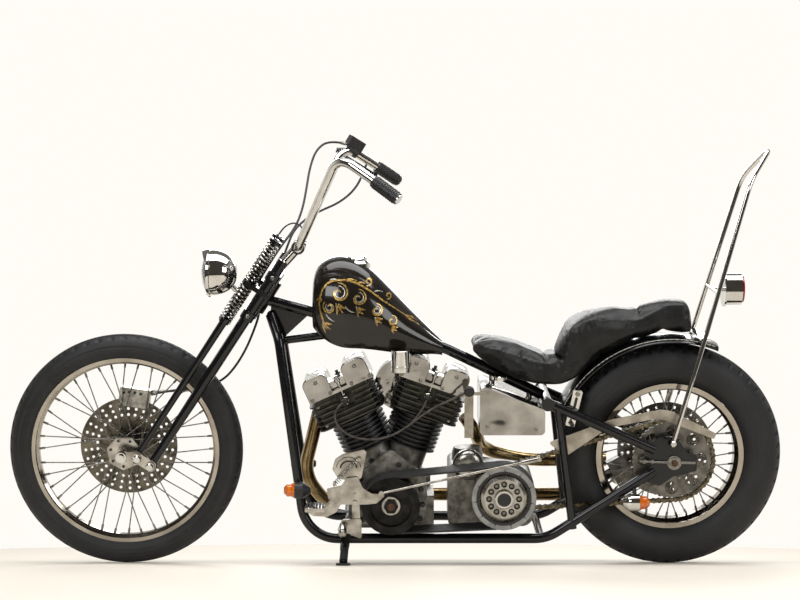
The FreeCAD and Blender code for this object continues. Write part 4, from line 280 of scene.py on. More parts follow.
def wall_depth(off):
    """How far the sidewall lies in between its ribs."""
    ribbed = WALL_RIBS[0] < off < WALL_RIBS[1] and int(off) % 6 < 2
    return RIB_HIGH if off > WALL_FROM and not ribbed else 0.0


def tyre(centre, radius, section, bead_r, bead_half, depth):
    """Revolved casing: sidewalls, ribbed near the bead, round a tread with cut grooves."""
    bm = bmesh.new()
    last = 180 - math.degrees(math.asin(bead_half / section))
    arcs = [-last + 2 * last * i / ARC_STEPS for i in range(ARC_STEPS + 1)]
    rings = []
    for step in range(TYRE_ROUNDS):
        turn = Matrix.Rotation(2 * math.pi * step / TYRE_ROUNDS, 4, "Y")
        ring = []
        for arc in arcs:
            reach = section - tread_depth(abs(arc), step, depth) - wall_depth(abs(arc))
            angle = math.radians(arc)
            ring.append((reach * math.sin(angle), radius - section + reach * math.cos(angle)))
        ring += [(bead_half - BEAD_TUCK, bead_r), (-bead_half + BEAD_TUCK, bead_r)]
        rings.append([bm.verts.new(centre + turn @ Vector((0, y, r))) for y, r in ring])
    bridge(bm, rings + rings[:1])
    return closed_mesh(bm)


FRONT_TYRE_RADIUS = 346
REAR_HUB = Vector((WHEELBASE / 2, 0, REAR_TYRE_RADIUS))
FRONT_HUB = Vector((-WHEELBASE / 2, 0, FRONT_TYRE_RADIUS))
# Moulded tyre rubber: near black, dry, a little browned and dusty, with a matt fine grain
tyre_rubber = finish("moulded_tyre_rubber", "#0B0B0D", "#161617", (0.5, 0.72), patch_mm=55,
                     grain_mm=1.2, relief_mm=0.12)
rear_tyre = add_piece("rear_tyre_rubber",
                      tyre(REAR_HUB, REAR_TYRE_RADIUS, 62.5, 219, 43, 4.5),
                      "rear_wheel", [tyre_rubber])
front_tyre = add_piece("front_tyre_rubber",
                       tyre(FRONT_HUB, FRONT_TYRE_RADIUS, 40, 282, 27, 3.0),
                       "front_wheel", [tyre_rubber])
for piece, node in ((rear_tyre, "rear_tyre"), (front_tyre, "front_tyre")):
    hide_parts(node)

# Wire wheels: rolled steel rims in chrome, laced with forty bright spokes to a turned hub.
# Each spoke screws into a small brass nipple, plated over, that stands out of the rim.
# Chrome on rolled steel: mirror bright with a faint haze and fine polishing marks
old_chrome = finish("chrome_plate", "#BDBBB6", "#D3D1CC", (0.03, 0.11), 1.0, patch_mm=70,
                    grain_mm=6, relief_mm=0.004)
# Spoke wire and cast hub: duller plating, darkened in its corners by road dirt
spoke_plate = finish("dull_spoke_plate", "#5E5B56", "#8F8C86", (0.18, 0.36), 1.0, patch_mm=14,
                     grain_mm=2, relief_mm=0.02)
# Rim chrome: the same plating, its colour darkened and browned as a painted reflection of the floor
rim_chrome_with_painted_reflection = finish("rim_chrome_painted_floor_reflection", "#8B8479", "#B0AA9F", (0.05, 0.16), 1.0, patch_mm=90,
                    grain_mm=6, relief_mm=0.004)
dress(rim_chrome_with_painted_reflection, "front_rim", "rear_rim")
dress(spoke_plate, "front_hub", "rear_hub")


def new_tree(name, **inputs):
    """Geometry Nodes tree with a mesh in and out, a material and named sizes."""
    tree = bpy.data.node_groups.new(name, "GeometryNodeTree")
    tree.interface.new_socket("Geometry", in_out="INPUT", socket_type="NodeSocketGeometry")
    for label, kind in inputs.items():
        tree.interface.new_socket(label, in_out="INPUT", socket_type="NodeSocket" + kind)
    tree.interface.new_socket("Material", in_out="INPUT", socket_type="NodeSocketMaterial")
    tree.interface.new_socket("Geometry", in_out="OUTPUT", socket_type="NodeSocketGeometry")
    given = add_node(tree, "NodeGroupInput")
    return tree, given


def shifted(tree, shape, axis, length, share, turn=(0, 0, 0)):
    """A shape moved along an axis by a share of a length."""
    far = add_node(tree, "ShaderNodeMath", {0: length, 1: share}, operation="MULTIPLY")
    way = add_node(tree, "ShaderNodeCombineXYZ", {axis: far.outputs[0]})
    return add_node(tree, "GeometryNodeTransform", {
        "Geometry": shape, "Translation": way.outputs[0], "Rotation": turn}).outputs[0]


def end_tree(tree, given, shape, **turning):
    """Copies a shape to each seed, turned to its aim, as real geometry in one material."""
    links = {"Points": given.outputs["Geometry"], "Instance": shape}
    if turning:
        aim = add_node(tree, "GeometryNodeInputNamedAttribute", {"Name": "aim"},
                       data_type="FLOAT_VECTOR")
        turned = add_node(tree, "FunctionNodeAlignRotationToVector",
                          {"Vector": aim.outputs[0]}, **turning)
        links["Rotation"] = turned.outputs[0]
    copies = add_node(tree, "GeometryNodeInstanceOnPoints", links)
    real = add_node(tree, "GeometryNodeRealizeInstances", {"Geometry": copies.outputs[0]})
    painted = add_node(tree, "GeometryNodeSetMaterial", {
        "Geometry": real.outputs[0], "Material": given.outputs["Material"]})
    add_node(tree, "NodeGroupOutput", {"Geometry": painted.outputs[0]})


def grow(tree, material, places, aims, **sizes):
    """Lets a tree make its piece from places and directions, and keeps it as a plain mesh."""
    seeds = bpy.data.meshes.new("seeds")
    seeds.from_pydata([tuple(spot) for spot in places], [], [])
    held = seeds.attributes.new("aim", "FLOAT_VECTOR", "POINT")
    held.data.foreach_set("vector", [part for aim in aims for part in aim])
    holder = bpy.data.objects.new("seeds", seeds)
    bpy.context.collection.objects.link(holder)
    maker = holder.modifiers.new("maker", "NODES")
    maker.node_group = tree
    sizes["Material"] = material
    for item in tree.interface.items_tree:
        if item.item_type == "SOCKET" and item.in_out == "INPUT" and item.name in sizes:
            maker[item.identifier] = sizes[item.name]
    graph = bpy.context.evaluated_depsgraph_get()
    made = bpy.data.meshes.new_from_object(holder.evaluated_get(graph))
    bpy.data.objects.remove(holder)
    return made


# Screw heads, nuts and nipples: a many-sided shank with a chamfered cap, one on each seed
fastener_tree, given = new_tree("fasteners", Radius="Float", Height="Float", Sides="Int",
                                Chamfer="Float")
shank = add_node(fastener_tree, "GeometryNodeMeshCylinder", {
    "Vertices": given.outputs["Sides"], "Radius": given.outputs["Radius"],
    "Depth": given.outputs["Height"]})
tip = add_node(fastener_tree, "ShaderNodeMath", {0: given.outputs["Radius"],
                                                 1: given.outputs["Chamfer"]},
               operation="SUBTRACT")
cap = add_node(fastener_tree, "GeometryNodeMeshCone", {
    "Vertices": given.outputs["Sides"], "Radius Top": tip.outputs[0],
    "Radius Bottom": given.outputs["Radius"], "Depth": given.outputs["Chamfer"]})
head = add_node(fastener_tree, "GeometryNodeJoinGeometry")
for shape, share in ((shank, 0.5), (cap, 1.0)):
    raised = shifted(fastener_tree, shape.outputs["Mesh"], "Z", given.outputs["Height"], share)
    fastener_tree.links.new(raised, head.inputs[0])
end_tree(fastener_tree, given, head.outputs[0], axis="Z")


def fasten(name, body, material, seeds, radius, height, sides=6, chamfer=1.0):
    """Like fasteners on one body: a list of (place, direction) pairs."""
    mesh = grow(fastener_tree, material, *zip(*seeds), Radius=radius, Height=height, Sides=sides,
                Chamfer=chamfer)
    return add_piece(name, mesh, body)


SPOKES = 40
SPOKE_CROSS = 58
NIPPLE_LONG = 15
for end, hub, flange_r, row, rim_r in (("front", FRONT_HUB, 37, 30.5, 257.7),
                                       ("rear", REAR_HUB, 45, 34.5, 194.2)):
    seeds = []
    for i in range(SPOKES):
        side = -1 if i % 2 else 1
        lead = 1 if (i // 2) % 2 else -1
        start = Matrix.Rotation(math.radians(i * 360 / SPOKES + lead * SPOKE_CROSS), 4,
                                "Y") @ Vector((0, side * row, flange_r))
        stop = Matrix.Rotation(math.radians(i * 360 / SPOKES), 4, "Y") @ Vector(
            (0, side * 5, rim_r))
        away = (start - stop).normalized()
        seeds.append((hub + stop - away * 2, away))
    fasten(end + "_spoke_nipples", end + "_wheel", spoke_plate, seeds, 3.4, NIPPLE_LONG, 6, 1.4)


# Brake discs and rear sprocket: ground steel rings. The discs are drilled and turned, which
# leaves fine circles that catch the light; the sprocket is duller and oily at its teeth.
RIGHT = (0, 1, 0)
LEFT = (0, -1, 0)


def marked(material, height, depth_mm, strength=1.0):
    """Gives a finish other marks in place of its grain."""
    tree = material.node_tree
    shader = next(node for node in tree.nodes if node.type == "BSDF_PRINCIPLED")
    bump = add_node(tree, "ShaderNodeBump", {"Height": height, "Strength": strength,
                                             "Distance": depth_mm / 1000})
    tree.links.new(bump.outputs[0], shader.inputs["Normal"])
    return material


def turned_steel(name, dark, light, roughness, centre, ring_mm):
    """Ground steel with fine circles round an axle, as a grinding wheel leaves them."""
    material = finish(name, dark, light, roughness, 1.0, patch_mm=30, grain_mm=2)
    tree = material.node_tree
    place = add_node(tree, "ShaderNodeTexCoord").outputs["Object"]
    spot = LEANED @ centre
    moved = add_node(tree, "ShaderNodeVectorMath", {0: place, 1: spot}, operation="SUBTRACT")
    upright = add_node(tree, "ShaderNodeVectorRotate",
                       {"Vector": moved.outputs[0], "Angle": -LEAN}, rotation_type="X_AXIS")
    rings = add_node(tree, "ShaderNodeTexWave",
                     {"Vector": upright.outputs[0], "Scale": 1000 / ring_mm / 20,
                      "Distortion": 1.5, "Detail": 2.0, "Detail Scale": 1.0},
                     wave_type="RINGS", rings_direction="Y")
    return marked(material, rings.outputs["Fac"], 0.12, 0.6)


front_disc_steel = turned_steel("ground_front_disc_steel", "#4C483F", "#6F6A5E", (0.2, 0.36),
                                FRONT_HUB, 0.9)
rear_disc_steel = turned_steel("ground_rear_disc_steel", "#54514A", "#78746B", (0.2, 0.36),
                               REAR_HUB, 0.9)
sprocket_steel = turned_steel("oily_sprocket_steel", "#5A5853", "#7E7B75", (0.32, 0.5),
                              REAR_HUB, 1.6)
dress(front_disc_steel, "front_disc")
dress(rear_disc_steel, "rear_disc")
dress(sprocket_steel, "rear_sprocket")
# Zinc-plated screws: grey and satin, dulled by dirt
zinc_plate = finish("dull_zinc_plate", "#6E6C67", "#94918A", (0.28, 0.46), 1.0, patch_mm=6,
                    grain_mm=1.2, relief_mm=0.02)
for name, body, hub, reach, out, aim, count, first, radius in (
        ("front_disc_bolts", "front_wheel", FRONT_HUB, 30, 51, RIGHT, 5, 0, 5),
        ("rear_disc_bolts", "rear_wheel", REAR_HUB, 32, 65, RIGHT, 5, 0, 5),
        ("rear_sprocket_bolts", "rear_wheel", REAR_HUB, 58, -86, LEFT, 8, 0.5, 5.5)):
    turns = [2 * math.pi * (i + first) / count for i in range(count)]
    seeds = [(hub + Vector((reach * math.sin(turn), out, reach * math.cos(turn))), aim)
             for turn in turns]
    fasten(name, body, zinc_plate, seeds, radius, 5)

# Drive chain: riveted steel links with a brassy plating, two plates on each side of every
# roller, each second pair outside the next. It runs from the gearbox to the rear sprocket.
CHAIN_PITCH = 15.875
CLUTCH = Vector((307, 0, 244))


def loop_places(first, first_r, last, last_r, pitch):
    """Even places along a belt round two wheels, each with its direction, and their pitch."""
    run = last - first
    span = math.hypot(run.x, run.z)
    heading = math.atan2(run.z, run.x)
    lean = math.asin((last_r - first_r) / span)
    straight = math.sqrt(span ** 2 - (last_r - first_r) ** 2)
    wraps = (last_r * (math.pi + 2 * lean), first_r * (math.pi - 2 * lean))
    length = 2 * straight + sum(wraps)
    count = 2 * round(length / pitch / 2)
    top = heading + math.pi / 2 + lean
    low = heading - math.pi / 2 - lean
    places, aims = [], []
    for i in range(count):
        along = i * length / count
        if along < straight:
            centre, reach, turn, ahead = first, first_r, top, along
        elif along < straight + wraps[0]:
            centre, reach, turn, ahead = last, last_r, top - (along - straight) / last_r, 0
        elif along < 2 * straight + wraps[0]:
            centre, reach, turn, ahead = last, last_r, low, along - straight - wraps[0]
        else:
            turn = low - (along - 2 * straight - wraps[0]) / first_r
            centre, reach, ahead = first, first_r, 0
        out = Vector((math.cos(turn), 0, math.sin(turn)))
        aims.append(Vector((out.z, 0, -out.x)))
        places.append(centre + out * reach + aims[-1] * ahead)
    return places, aims


link_tree, given = new_tree("chain_links", Pitch="Float", Spread="Float", Plate="Float",
                            Waist="Float", Eye="Float")
eye = add_node(link_tree, "GeometryNodeMeshCylinder", {
    "Vertices": 12, "Radius": given.outputs["Eye"], "Depth": given.outputs["Plate"]})
bar_size = add_node(link_tree, "ShaderNodeCombineXYZ", {
    "X": given.outputs["Pitch"], "Y": given.outputs["Waist"], "Z": given.outputs["Plate"]})
bar = add_node(link_tree, "GeometryNodeMeshCube", {"Size": bar_size.outputs[0]})
plate = add_node(link_tree, "GeometryNodeJoinGeometry")
for way in (-0.5, 0.5):
    end = shifted(link_tree, eye.outputs["Mesh"], "X", given.outputs["Pitch"], way)
    link_tree.links.new(end, plate.inputs[0])
link_tree.links.new(bar.outputs[0], plate.inputs[0])
pair = add_node(link_tree, "GeometryNodeJoinGeometry")
for way in (-1.0, 1.0):
    side = shifted(link_tree, plate.outputs[0], "Y", given.outputs["Spread"], way,
                   (math.pi / 2, 0, 0))
    link_tree.links.new(side, pair.inputs[0])
end_tree(link_tree, given, pair.outputs[0], axis="X", pivot_axis="Y")

# Brass-plated chain steel: yellow where rubbed bright, brown with old oil between the links
chain_brass = finish("oiled_brassy_chain_steel", "#37322A", "#7C725C", (0.26, 0.46), 1.0,
                     patch_mm=9, grain_mm=1.5, relief_mm=0.04)
CHAIN_SIDE = -82
GEAR_TEETH = 24
WHEEL_TEETH = 48
GEAR_PITCH_R = CHAIN_PITCH / 2 / math.sin(math.pi / GEAR_TEETH)
WHEEL_PITCH_R = CHAIN_PITCH / 2 / math.sin(math.pi / WHEEL_TEETH)
places, aims = loop_places(CLUTCH, GEAR_PITCH_R, REAR_HUB, WHEEL_PITCH_R, CHAIN_PITCH)
places = [spot + Vector((0, CHAIN_SIDE, 0)) for spot in places]
count = len(places)
middles = [(places[i] + places[(i + 1) % count]) / 2 for i in range(count)]
runs = [(places[(i + 1) % count] - places[i]).normalized() for i in range(count)]
chain_meshes = [grow(link_tree, chain_brass, middles[first::2], runs[first::2],
                     Pitch=CHAIN_PITCH, Spread=apart, Plate=1.8, Waist=9.0, Eye=6.6)
                for first, apart in ((0, 8.0), (1, 6.0))]
chain_meshes.append(grow(fastener_tree, chain_brass,
                         [spot - Vector((0, 9.4, 0)) for spot in places], [RIGHT] * count,
                         Radius=4.6, Height=18.2, Sides=10, Chamfer=0.6))
chain_bm = bmesh.new()
for mesh in chain_meshes:
    chain_bm.from_mesh(mesh)
chain_mesh = bpy.data.meshes.new("shape")
chain_bm.to_mesh(chain_mesh)
chain_bm.free()
chain = add_piece("drive_chain_links", chain_mesh, "frame", [chain_brass])
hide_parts("drive_chain")

# Chain guard: a thin aluminium plate, brushed lengthways, bolted to stay and axle plate
brushed_guard = finish("brushed_aluminium_guard", "#8B857A", "#B2ACA0", (0.28, 0.42), 1.0,
                       patch_mm=45, grain_mm=2.5, relief_mm=0.02)
dress(brushed_guard, "chain_guard")

# Springer fork: black enamelled legs and crowns, nickel rockers and a bright axle. Four coil
# springs of plated wire stand above and below the bridge, two on each side of it.
# Gloss black enamel on steel: deep black under a clear wet-looking skin, with fine dust
black_enamel = finish("gloss_black_enamel", "#070708", "#0F0F11", (0.14, 0.26), patch_mm=60,
                      grain_mm=3, relief_mm=0.01, Coat_Weight=0.35, Coat_Roughness=0.05,
                      Specular_IOR_Level=0.25)
# Polished steel: bright but soft, with faint rubbing marks
bright_steel = finish("polished_steel", "#8E8B85", "#B5B2AB", (0.12, 0.26), 1.0, patch_mm=12,
                      grain_mm=1.6, relief_mm=0.015)
dress(black_enamel, "fork_legs", "spring_legs", "steering_trees")
dress(old_chrome, "front_axle")
# Dull nickel: warm grey metal with brown stains in its corners
dull_nickel = finish("stained_dull_nickel", "#87827A", "#B8B4AC", (0.12, 0.3), 1.0, patch_mm=34,
                     grain_mm=1.5, relief_mm=0.06)
dress(dull_nickel, "fork_rockers")

NECK = Vector((-372, 0, 832))
RAKE = math.radians(33.2)
FORK_TURN = Matrix.Translation(NECK) @ Matrix.Rotation(RAKE, 4, "Y")


def on_fork(back, side, up):
    """Place by the steering axis: to the rear, to the right and up the stem."""
    return FORK_TURN @ Vector((back, side, up))


UP = (0, 0, 1)
UP_STEM = (FORK_TURN.to_3x3() @ Vector(UP)).normalized()
SPRINGS_BACK = -60
SPRING_SIDE = 58
spring_tree, given = new_tree("coil_springs", Turns="Float", Radius="Float", Wire="Float",
                              Long="Float")
spiral = add_node(spring_tree, "GeometryNodeCurveSpiral", {
    "Resolution": 26, "Rotations": given.outputs["Turns"],
    "Start Radius": given.outputs["Radius"], "End Radius": given.outputs["Radius"],
    "Height": given.outputs["Long"]})
wire = add_node(spring_tree, "GeometryNodeCurvePrimitiveCircle",
                {"Resolution": 8, "Radius": given.outputs["Wire"]})
coil = add_node(spring_tree, "GeometryNodeCurveToMesh", {
    "Curve": spiral.outputs[0], "Profile Curve": wire.outputs[0], "Fill Caps": True})
end_tree(spring_tree, given, coil.outputs[0])
pairs = []
for low, high, turns in ((-146, -24, 10), (-6, 120, 11)):
    seeds = [Vector((SPRINGS_BACK, side * SPRING_SIDE, low)) for side in (-1, 1)]
    pairs.append(grow(spring_tree, bright_steel, seeds, [UP] * 2, Turns=turns,
                      Radius=16.8, Wire=3.5, Long=high - low))
springs = add_piece("fork_coil_springs", joined(pairs), "fork", [bright_steel],
                    LEANED @ FORK_TURN)
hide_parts("fork_springs")
seeds = [(on_fork(-10.6, -98, up), LEFT) for up in (-93, 40)]
fasten("crown_pinch_nuts", "fork", zinc_plate, seeds, 7, 13, 6, 1.5)
seeds = [(on_fork(SPRINGS_BACK, side * SPRING_SIDE, 121), UP_STEM) for side in (-1, 1)]
fasten("spring_cap_nuts", "fork", old_chrome, seeds, 11, 12, 6, 3)
seeds = [(on_fork(back, side * 110, up), (0, side, 0)) for side in (-1, 1)
         for back, up in ((-10.6, -624), (-54, -624))]
fasten("rocker_pivot_nuts", "fork", old_chrome, seeds, 13, 6, 20, 4)

# Headlamp: a small chromed bullet under a short peak, on a stalk from the fork. Its glass
# bulges forward, and behind the flutes a bulb stands in the bright bowl.
# Moulded lamp glass: clear, with upright flutes that break up what is seen through it
lens_glass, tree, output = new_material("fluted_lamp_glass")
place = add_node(tree, "ShaderNodeTexCoord").outputs["Object"]
flutes = add_node(tree, "ShaderNodeTexWave", {"Vector": place, "Scale": 1000 / 6 / 20},
                  wave_type="BANDS", bands_direction="Y")
bump = add_node(tree, "ShaderNodeBump", {"Height": flutes.outputs["Fac"], "Strength": 1.0,
                                         "Distance": 0.0015})
shader = add_node(tree, "ShaderNodeBsdfPrincipled", {
    "Base Color": linear("#F4F6F4"), "Roughness": 0.05, "IOR": 1.5,
    "Transmission Weight": 0.92, "Normal": bump.outputs[0]})
tree.links.new(shader.outputs[0], output.inputs["Surface"])


def lathe(profile, centre, axis, rounds=32):
    """Turned piece: (reach, along) pairs spun round an axis through a centre."""
    bm = bmesh.new()
    aim = Vector(axis).to_track_quat("Z", "Y").to_matrix().to_4x4()
    rings = []
    for step in range(rounds):
        spin = Matrix.Translation(centre) @ aim @ Matrix.Rotation(
            2 * math.pi * step / rounds, 4, "Z")
        rings.append([bm.verts.new(spin @ Vector((reach, 0, along)))
                      for reach, along in profile])
    bridge(bm, rings + rings[:1], open_section=True)
    return closed_mesh(bm)


BACK = (1, 0, 0)
LAMP = Vector((-556, 0, 875))
LAMP_R = 68
LAMP_LONG = 86
shell = [(LAMP_R - 3, 0), (LAMP_R, -2), (LAMP_R + 1.5, 2), (LAMP_R + 1.5, 7), (LAMP_R - 0.5, 9)]
shell += [(LAMP_R * math.cos(turn) ** 0.8, 9 + (LAMP_LONG - 9) * math.sin(turn))
          for turn in [math.pi / 2 * i / 12 for i in range(1, 12)]]
shell += [(0, LAMP_LONG)]
bowl = [(0, 52), (16, 50), (34, 42), (50, 28), (60, 13), (LAMP_R - 4, 6), (LAMP_R - 3, 0)]
lamp = add_piece("headlamp_bullet", lathe(shell + bowl, LAMP, BACK, 64), "fork", [old_chrome])
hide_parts("headlamp_shell")
dome = [(0, -19), (16, -18), (32, -14.6), (46, -9.6), (57, -3.6), (64, 2.5), (64, 5), (0, -14)]
lens = add_piece("headlamp_glass", lathe(dome, LAMP, BACK, 64), "fork", [lens_glass])
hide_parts("headlamp_lens")
# Bulb glass: a small milky dome on its collar, which reads as the lamp's pale centre
bulb_glass = finish("milky_bulb_glass", "#EDEBE2", "#FBF9F2", (0.08, 0.14), patch_mm=10,
                    grain_mm=2, relief_mm=0.01)
bulb = [(0, 16), (5, 17), (8, 22), (8, 30), (5, 36), (5, 53), (0, 53)]
add_piece("headlamp_bulb", lathe(bulb, LAMP, BACK, 20), "fork", [bulb_glass])


def blade(inner, outer, start, stop, steps):
    """Part ring between two places per angle, each given by a function of share and side."""
    bm = bmesh.new()
    sections = []
    for step in range(steps + 1):
        turn = start + (stop - start) * step / steps
        sections.append([bm.verts.new(point) for point in (inner(turn, 0), outer(turn, 0),
                                                           outer(turn, 1), inner(turn, 1))])
    bridge(bm, sections)
    bm.faces.new(sections[0])
    bm.faces.new(sections[-1])
    return closed_mesh(bm)


def peak_place(reach, along):
    """Point of the lamp's peak at a reach from its axis, by the angle off the top."""
    def at(turn, skin):
        out = reach + 2.0 * skin
        ahead = along * math.cos(turn) ** 2
        return LAMP + Vector((-ahead, out * math.sin(turn), out * math.cos(turn)))
    return at


peak = blade(peak_place(LAMP_R + 0.5, -4), peak_place(LAMP_R - 5, 15), -1.25, 1.25, 28)
add_piece("headlamp_peak", peak, "fork", [old_chrome])


def path_tube(points, radius, sides=5, order=3):
    """Round tube whose middle follows a smooth spline through a given route."""
    curve = bpy.data.curves.new("path", "CURVE")
    curve.dimensions = "3D"
    curve.bevel_depth = radius
    curve.bevel_resolution = sides
    curve.resolution_u = 10
    curve.use_fill_caps = True
    spline = curve.splines.new("NURBS")
    spline.points.add(len(points) - 1)
    for knot, point in zip(spline.points, points):
        knot.co = (*point, 1)
    spline.order_u = order
    spline.use_endpoint_u = True
    holder = bpy.data.objects.new("path", curve)
    mesh = bpy.data.meshes.new_from_object(holder)
    mesh.materials.clear()
    bpy.data.objects.remove(holder)
    bpy.data.curves.remove(curve)
    return joined([mesh])


stalk = [LAMP + Vector((60, 0, -24)), LAMP + Vector((72, 0, -44)), LAMP + Vector((96, 0, -66)),
         on_fork(-62, 0, -26)]
add_piece("headlamp_stalk", path_tube(stalk, 8), "fork", [old_chrome])
fasten("headlamp_rim_screw", "fork", zinc_plate, [(LAMP + Vector((4, 0, -LAMP_R)), (0, 0, -1))],
       3.4, 4, 10, 0.8)

# Handlebar: one chromed tube on two dog-bone risers. The grips are black rubber sleeves with
# rows of small nubs and a bright plug at each end.
# Moulded control rubber: black with a faint sheen from hands
grip_rubber = finish("handled_grip_rubber", "#0E0E0F", "#1A1A1B", (0.36, 0.55), patch_mm=18,
                     grain_mm=1.5, relief_mm=0.05)
dress(old_chrome, "handlebar", "handlebar_risers")
dress(grip_rubber, "grips")
GRIP_R = 17
seeds = []
plugs = []
for side in (-1, 1):
    start = Vector((-80, side * 305, 1177))
    end = Vector((-2, side * 345, 1122))
    along = (end - start).normalized()
    square = along.orthogonal().normalized()
    for row in range(11):
        for i in range(14):
            out = Matrix.Rotation(2 * math.pi * (i + row % 2 / 2) / 14, 3, along) @ square
            seeds.append((start + along * (30 + 7 * row) + out * (GRIP_R - 0.3), out))
    plugs.append((end + along * 5, along))
fasten("grip_nubs", "fork", grip_rubber, seeds, 2.3, 1.5, 6, 0.7)
fasten("bar_end_plugs", "fork", old_chrome, plugs, 15, 4, 20, 1.5)
fasten("riser_bolts", "fork", old_chrome,
       [(on_fork(4 + back, side * 30, 162), UP_STEM) for side in (-1, 1)
        for back in (-10, 10)], 5, 6, 6, 1)
# Satin black on castings: dull, with paint worn thin over the corners
satin_black = finish("satin_black_paint", "#101011", "#1B1B1C", (0.32, 0.5), patch_mm=25,
                     grain_mm=1.2, relief_mm=0.03)
dress(satin_black, "brake_master")

# Rigid frame: thin gloss-black loops that bend up behind the engine, with a plate at each
# end of the rear axle. The plates carry the axle's nut and its two adjusters.
dress(black_enamel, "frame_spine", "frame_rail_left", "frame_rail_right")
BEND_STEPS = 5


def rounded(corners, steps=BEND_STEPS):
    """Outline with arcs at its corners, which are given as along, up and radius."""
    outline = []
    for i, (along, up, bend) in enumerate(corners):
        here = Vector((along, up))
        into = (Vector(corners[i - 1][:2]) - here)
        out = (Vector(corners[(i + 1) % len(corners)][:2]) - here)
        half = into.angle(out) / 2
        cut = min(bend / math.tan(half), into.length / 2.05, out.length / 2.05)
        start = here + into.normalized() * cut
        stop = here + out.normalized() * cut
        for step in range(steps + 1):
            t = step / steps
            outline.append(start * (1 - t) ** 2 + here * 2 * t * (1 - t) + stop * t ** 2)
    return outline


def side_plate(corners, near, far, edge=0.8, holes=()):
    """Flat plate in side view between two distances, with its edges broken."""
    bm = bmesh.new()
    loops = [rounded(corners)] + [
        [Vector((x + r * math.cos(math.pi * i / 10), z + r * math.sin(math.pi * i / 10)))
         for i in range(20)] for x, z, r in holes]
    edges = []
    for loop in loops:
        ring = [bm.verts.new((point.x, near, point.y)) for point in loop]
        edges += [bm.edges.new((ring[i - 1], ring[i])) for i in range(len(ring))]
    filled = bmesh.ops.triangle_fill(bm, use_beauty=True, use_dissolve=False, edges=edges)
    faces = [f for f in filled["geom"] if isinstance(f, bmesh.types.BMFace)]
    grown = bmesh.ops.extrude_face_region(bm, geom=faces)
    moved = [v for v in grown["geom"] if isinstance(v, bmesh.types.BMVert)]
    bmesh.ops.translate(bm, verts=moved, vec=(0, far - near, 0))
    bmesh.ops.recalc_face_normals(bm, faces=bm.faces)
    rims = [e for e in bm.edges if len(e.link_faces) == 2 and e.calc_face_angle() > 0.9]
    if edge:
        bmesh.ops.bevel(bm, geom=rims, offset=edge, segments=2, profile=0.6,
                        affect="EDGES", clamp_overlap=True)
    return closed_mesh(bm)


AXLE_PLATE = [(719, 278, 6), (764, 263, 12), (804, 292, 26), (850, 300, 20), (871, 334, 18),
              (838, 368, 20), (812, 408, 12), (770, 410, 18), (724, 386, 8), (716, 366, 8),
              (750, 325, 18)]
for side, label in ((-1, "left"), (1, "right")):
    mesh = side_plate(AXLE_PLATE, side * 112, side * 124.5)
    add_piece("axle_plate_" + label, mesh, "frame", [black_enamel])
dress(zinc_plate, "rear_axle")
seeds = [(REAR_HUB + Vector((0, side * 127, 0)), (0, side, 0)) for side in (-1, 1)]
fasten("rear_axle_washers", "frame", zinc_plate, seeds, 21, 3, 28, 0.8)
# Rusty steel: the axle nut's dark centre, brown with orange specks
rusty_steel = finish("rusty_steel", "#2A1D16", "#5C3A22", (0.55, 0.8), 0.3, patch_mm=5,
                     grain_mm=0.8, relief_mm=0.15)
seeds = [(REAR_HUB + Vector((0, side * 137, 0)), (0, side, 0)) for side in (-1, 1)]
fasten("rear_axle_ends", "frame", rusty_steel, seeds, 9, 5, 20, 1.5)
starts = [REAR_HUB + Vector((-8, side * 131, 1)) for side in (-1, 1)]
rods = [path_tube([start, start - Vector((46, 0, -2)), start - Vector((92, 0, -4))], 3.5)
        for start in starts]
add_piece("chain_adjusters", joined(rods), "frame", [zinc_plate])
seeds = [(REAR_HUB + Vector((-back, side * 131, 4)), (-1, 0, 0)) for side in (-1, 1)
         for back in (60, 84)]
fasten("adjuster_nuts", "frame", zinc_plate, seeds, 7, 7, 6, 1)

# Front hub cover: a seven-sided plate of dull nickel on the left of the front hub, open in
# its middle. A black screw stands in each of its corners.
cover_turns = [2 * math.pi * (i + 0.2) / 7 for i in range(7)]
HUB_COVER = [(FRONT_HUB.x + 52 * math.cos(turn), FRONT_HUB.z + 52 * math.sin(turn), 4)
             for turn in cover_turns]
mesh = side_plate(HUB_COVER, -58, -53, 1.2, [(FRONT_HUB.x, FRONT_HUB.z, 11)])
add_piece("front_hub_cover", mesh, "front_wheel", [dull_nickel])
seeds = [(FRONT_HUB + Vector((40 * math.cos(turn), -57.5, 40 * math.sin(turn))), LEFT)
         for turn in cover_turns]
fasten("front_hub_screws", "front_wheel", satin_black, seeds, 4.2, 2.5, 14, 0.8)

# Engine: a stained cast case under two black finned barrels. The heads are dark, and their
# rocker boxes are chromed, with round cap screws.
# Cast aluminium of the cases: grey, brown-stained in its hollows, rough as sand casting
case_alloy = finish("stained_cast_alloy", "#565550", "#8C8A84", (0.3, 0.55), 0.85, patch_mm=22,
                    grain_mm=1.4, relief_mm=0.16)
# Heads: dark olive-grey casting with an oily film
head_alloy = finish("dark_head_casting", "#26261F", "#45443A", (0.34, 0.6), 0.6, patch_mm=26,
                    grain_mm=1.3, relief_mm=0.14)
# Stove-enamelled barrels: black with a low sheen on the fins' edges. The same black also serves as
# painted shade in the clutch's gaps, its nut recesses and the slots of the strut and quarter plate
barrel_and_shade_black = finish("stove_enamel_black", "#0C0C0C", "#19191A", (0.3, 0.48), patch_mm=30,
                      grain_mm=1.2, relief_mm=0.05)
# Polished casting: gearbox lid and timing cover, bright with soft scratches
polished_case = finish("hand_polished_alloy", "#77756F", "#A9A7A0", (0.16, 0.34), 1.0,
                       patch_mm=26, grain_mm=1.8, relief_mm=0.04)
dress(case_alloy, "crankcase", "gearbox", "primary_plate")
dress(head_alloy, "cylinder_heads")
dress(barrel_and_shade_black, "cylinder_barrels")


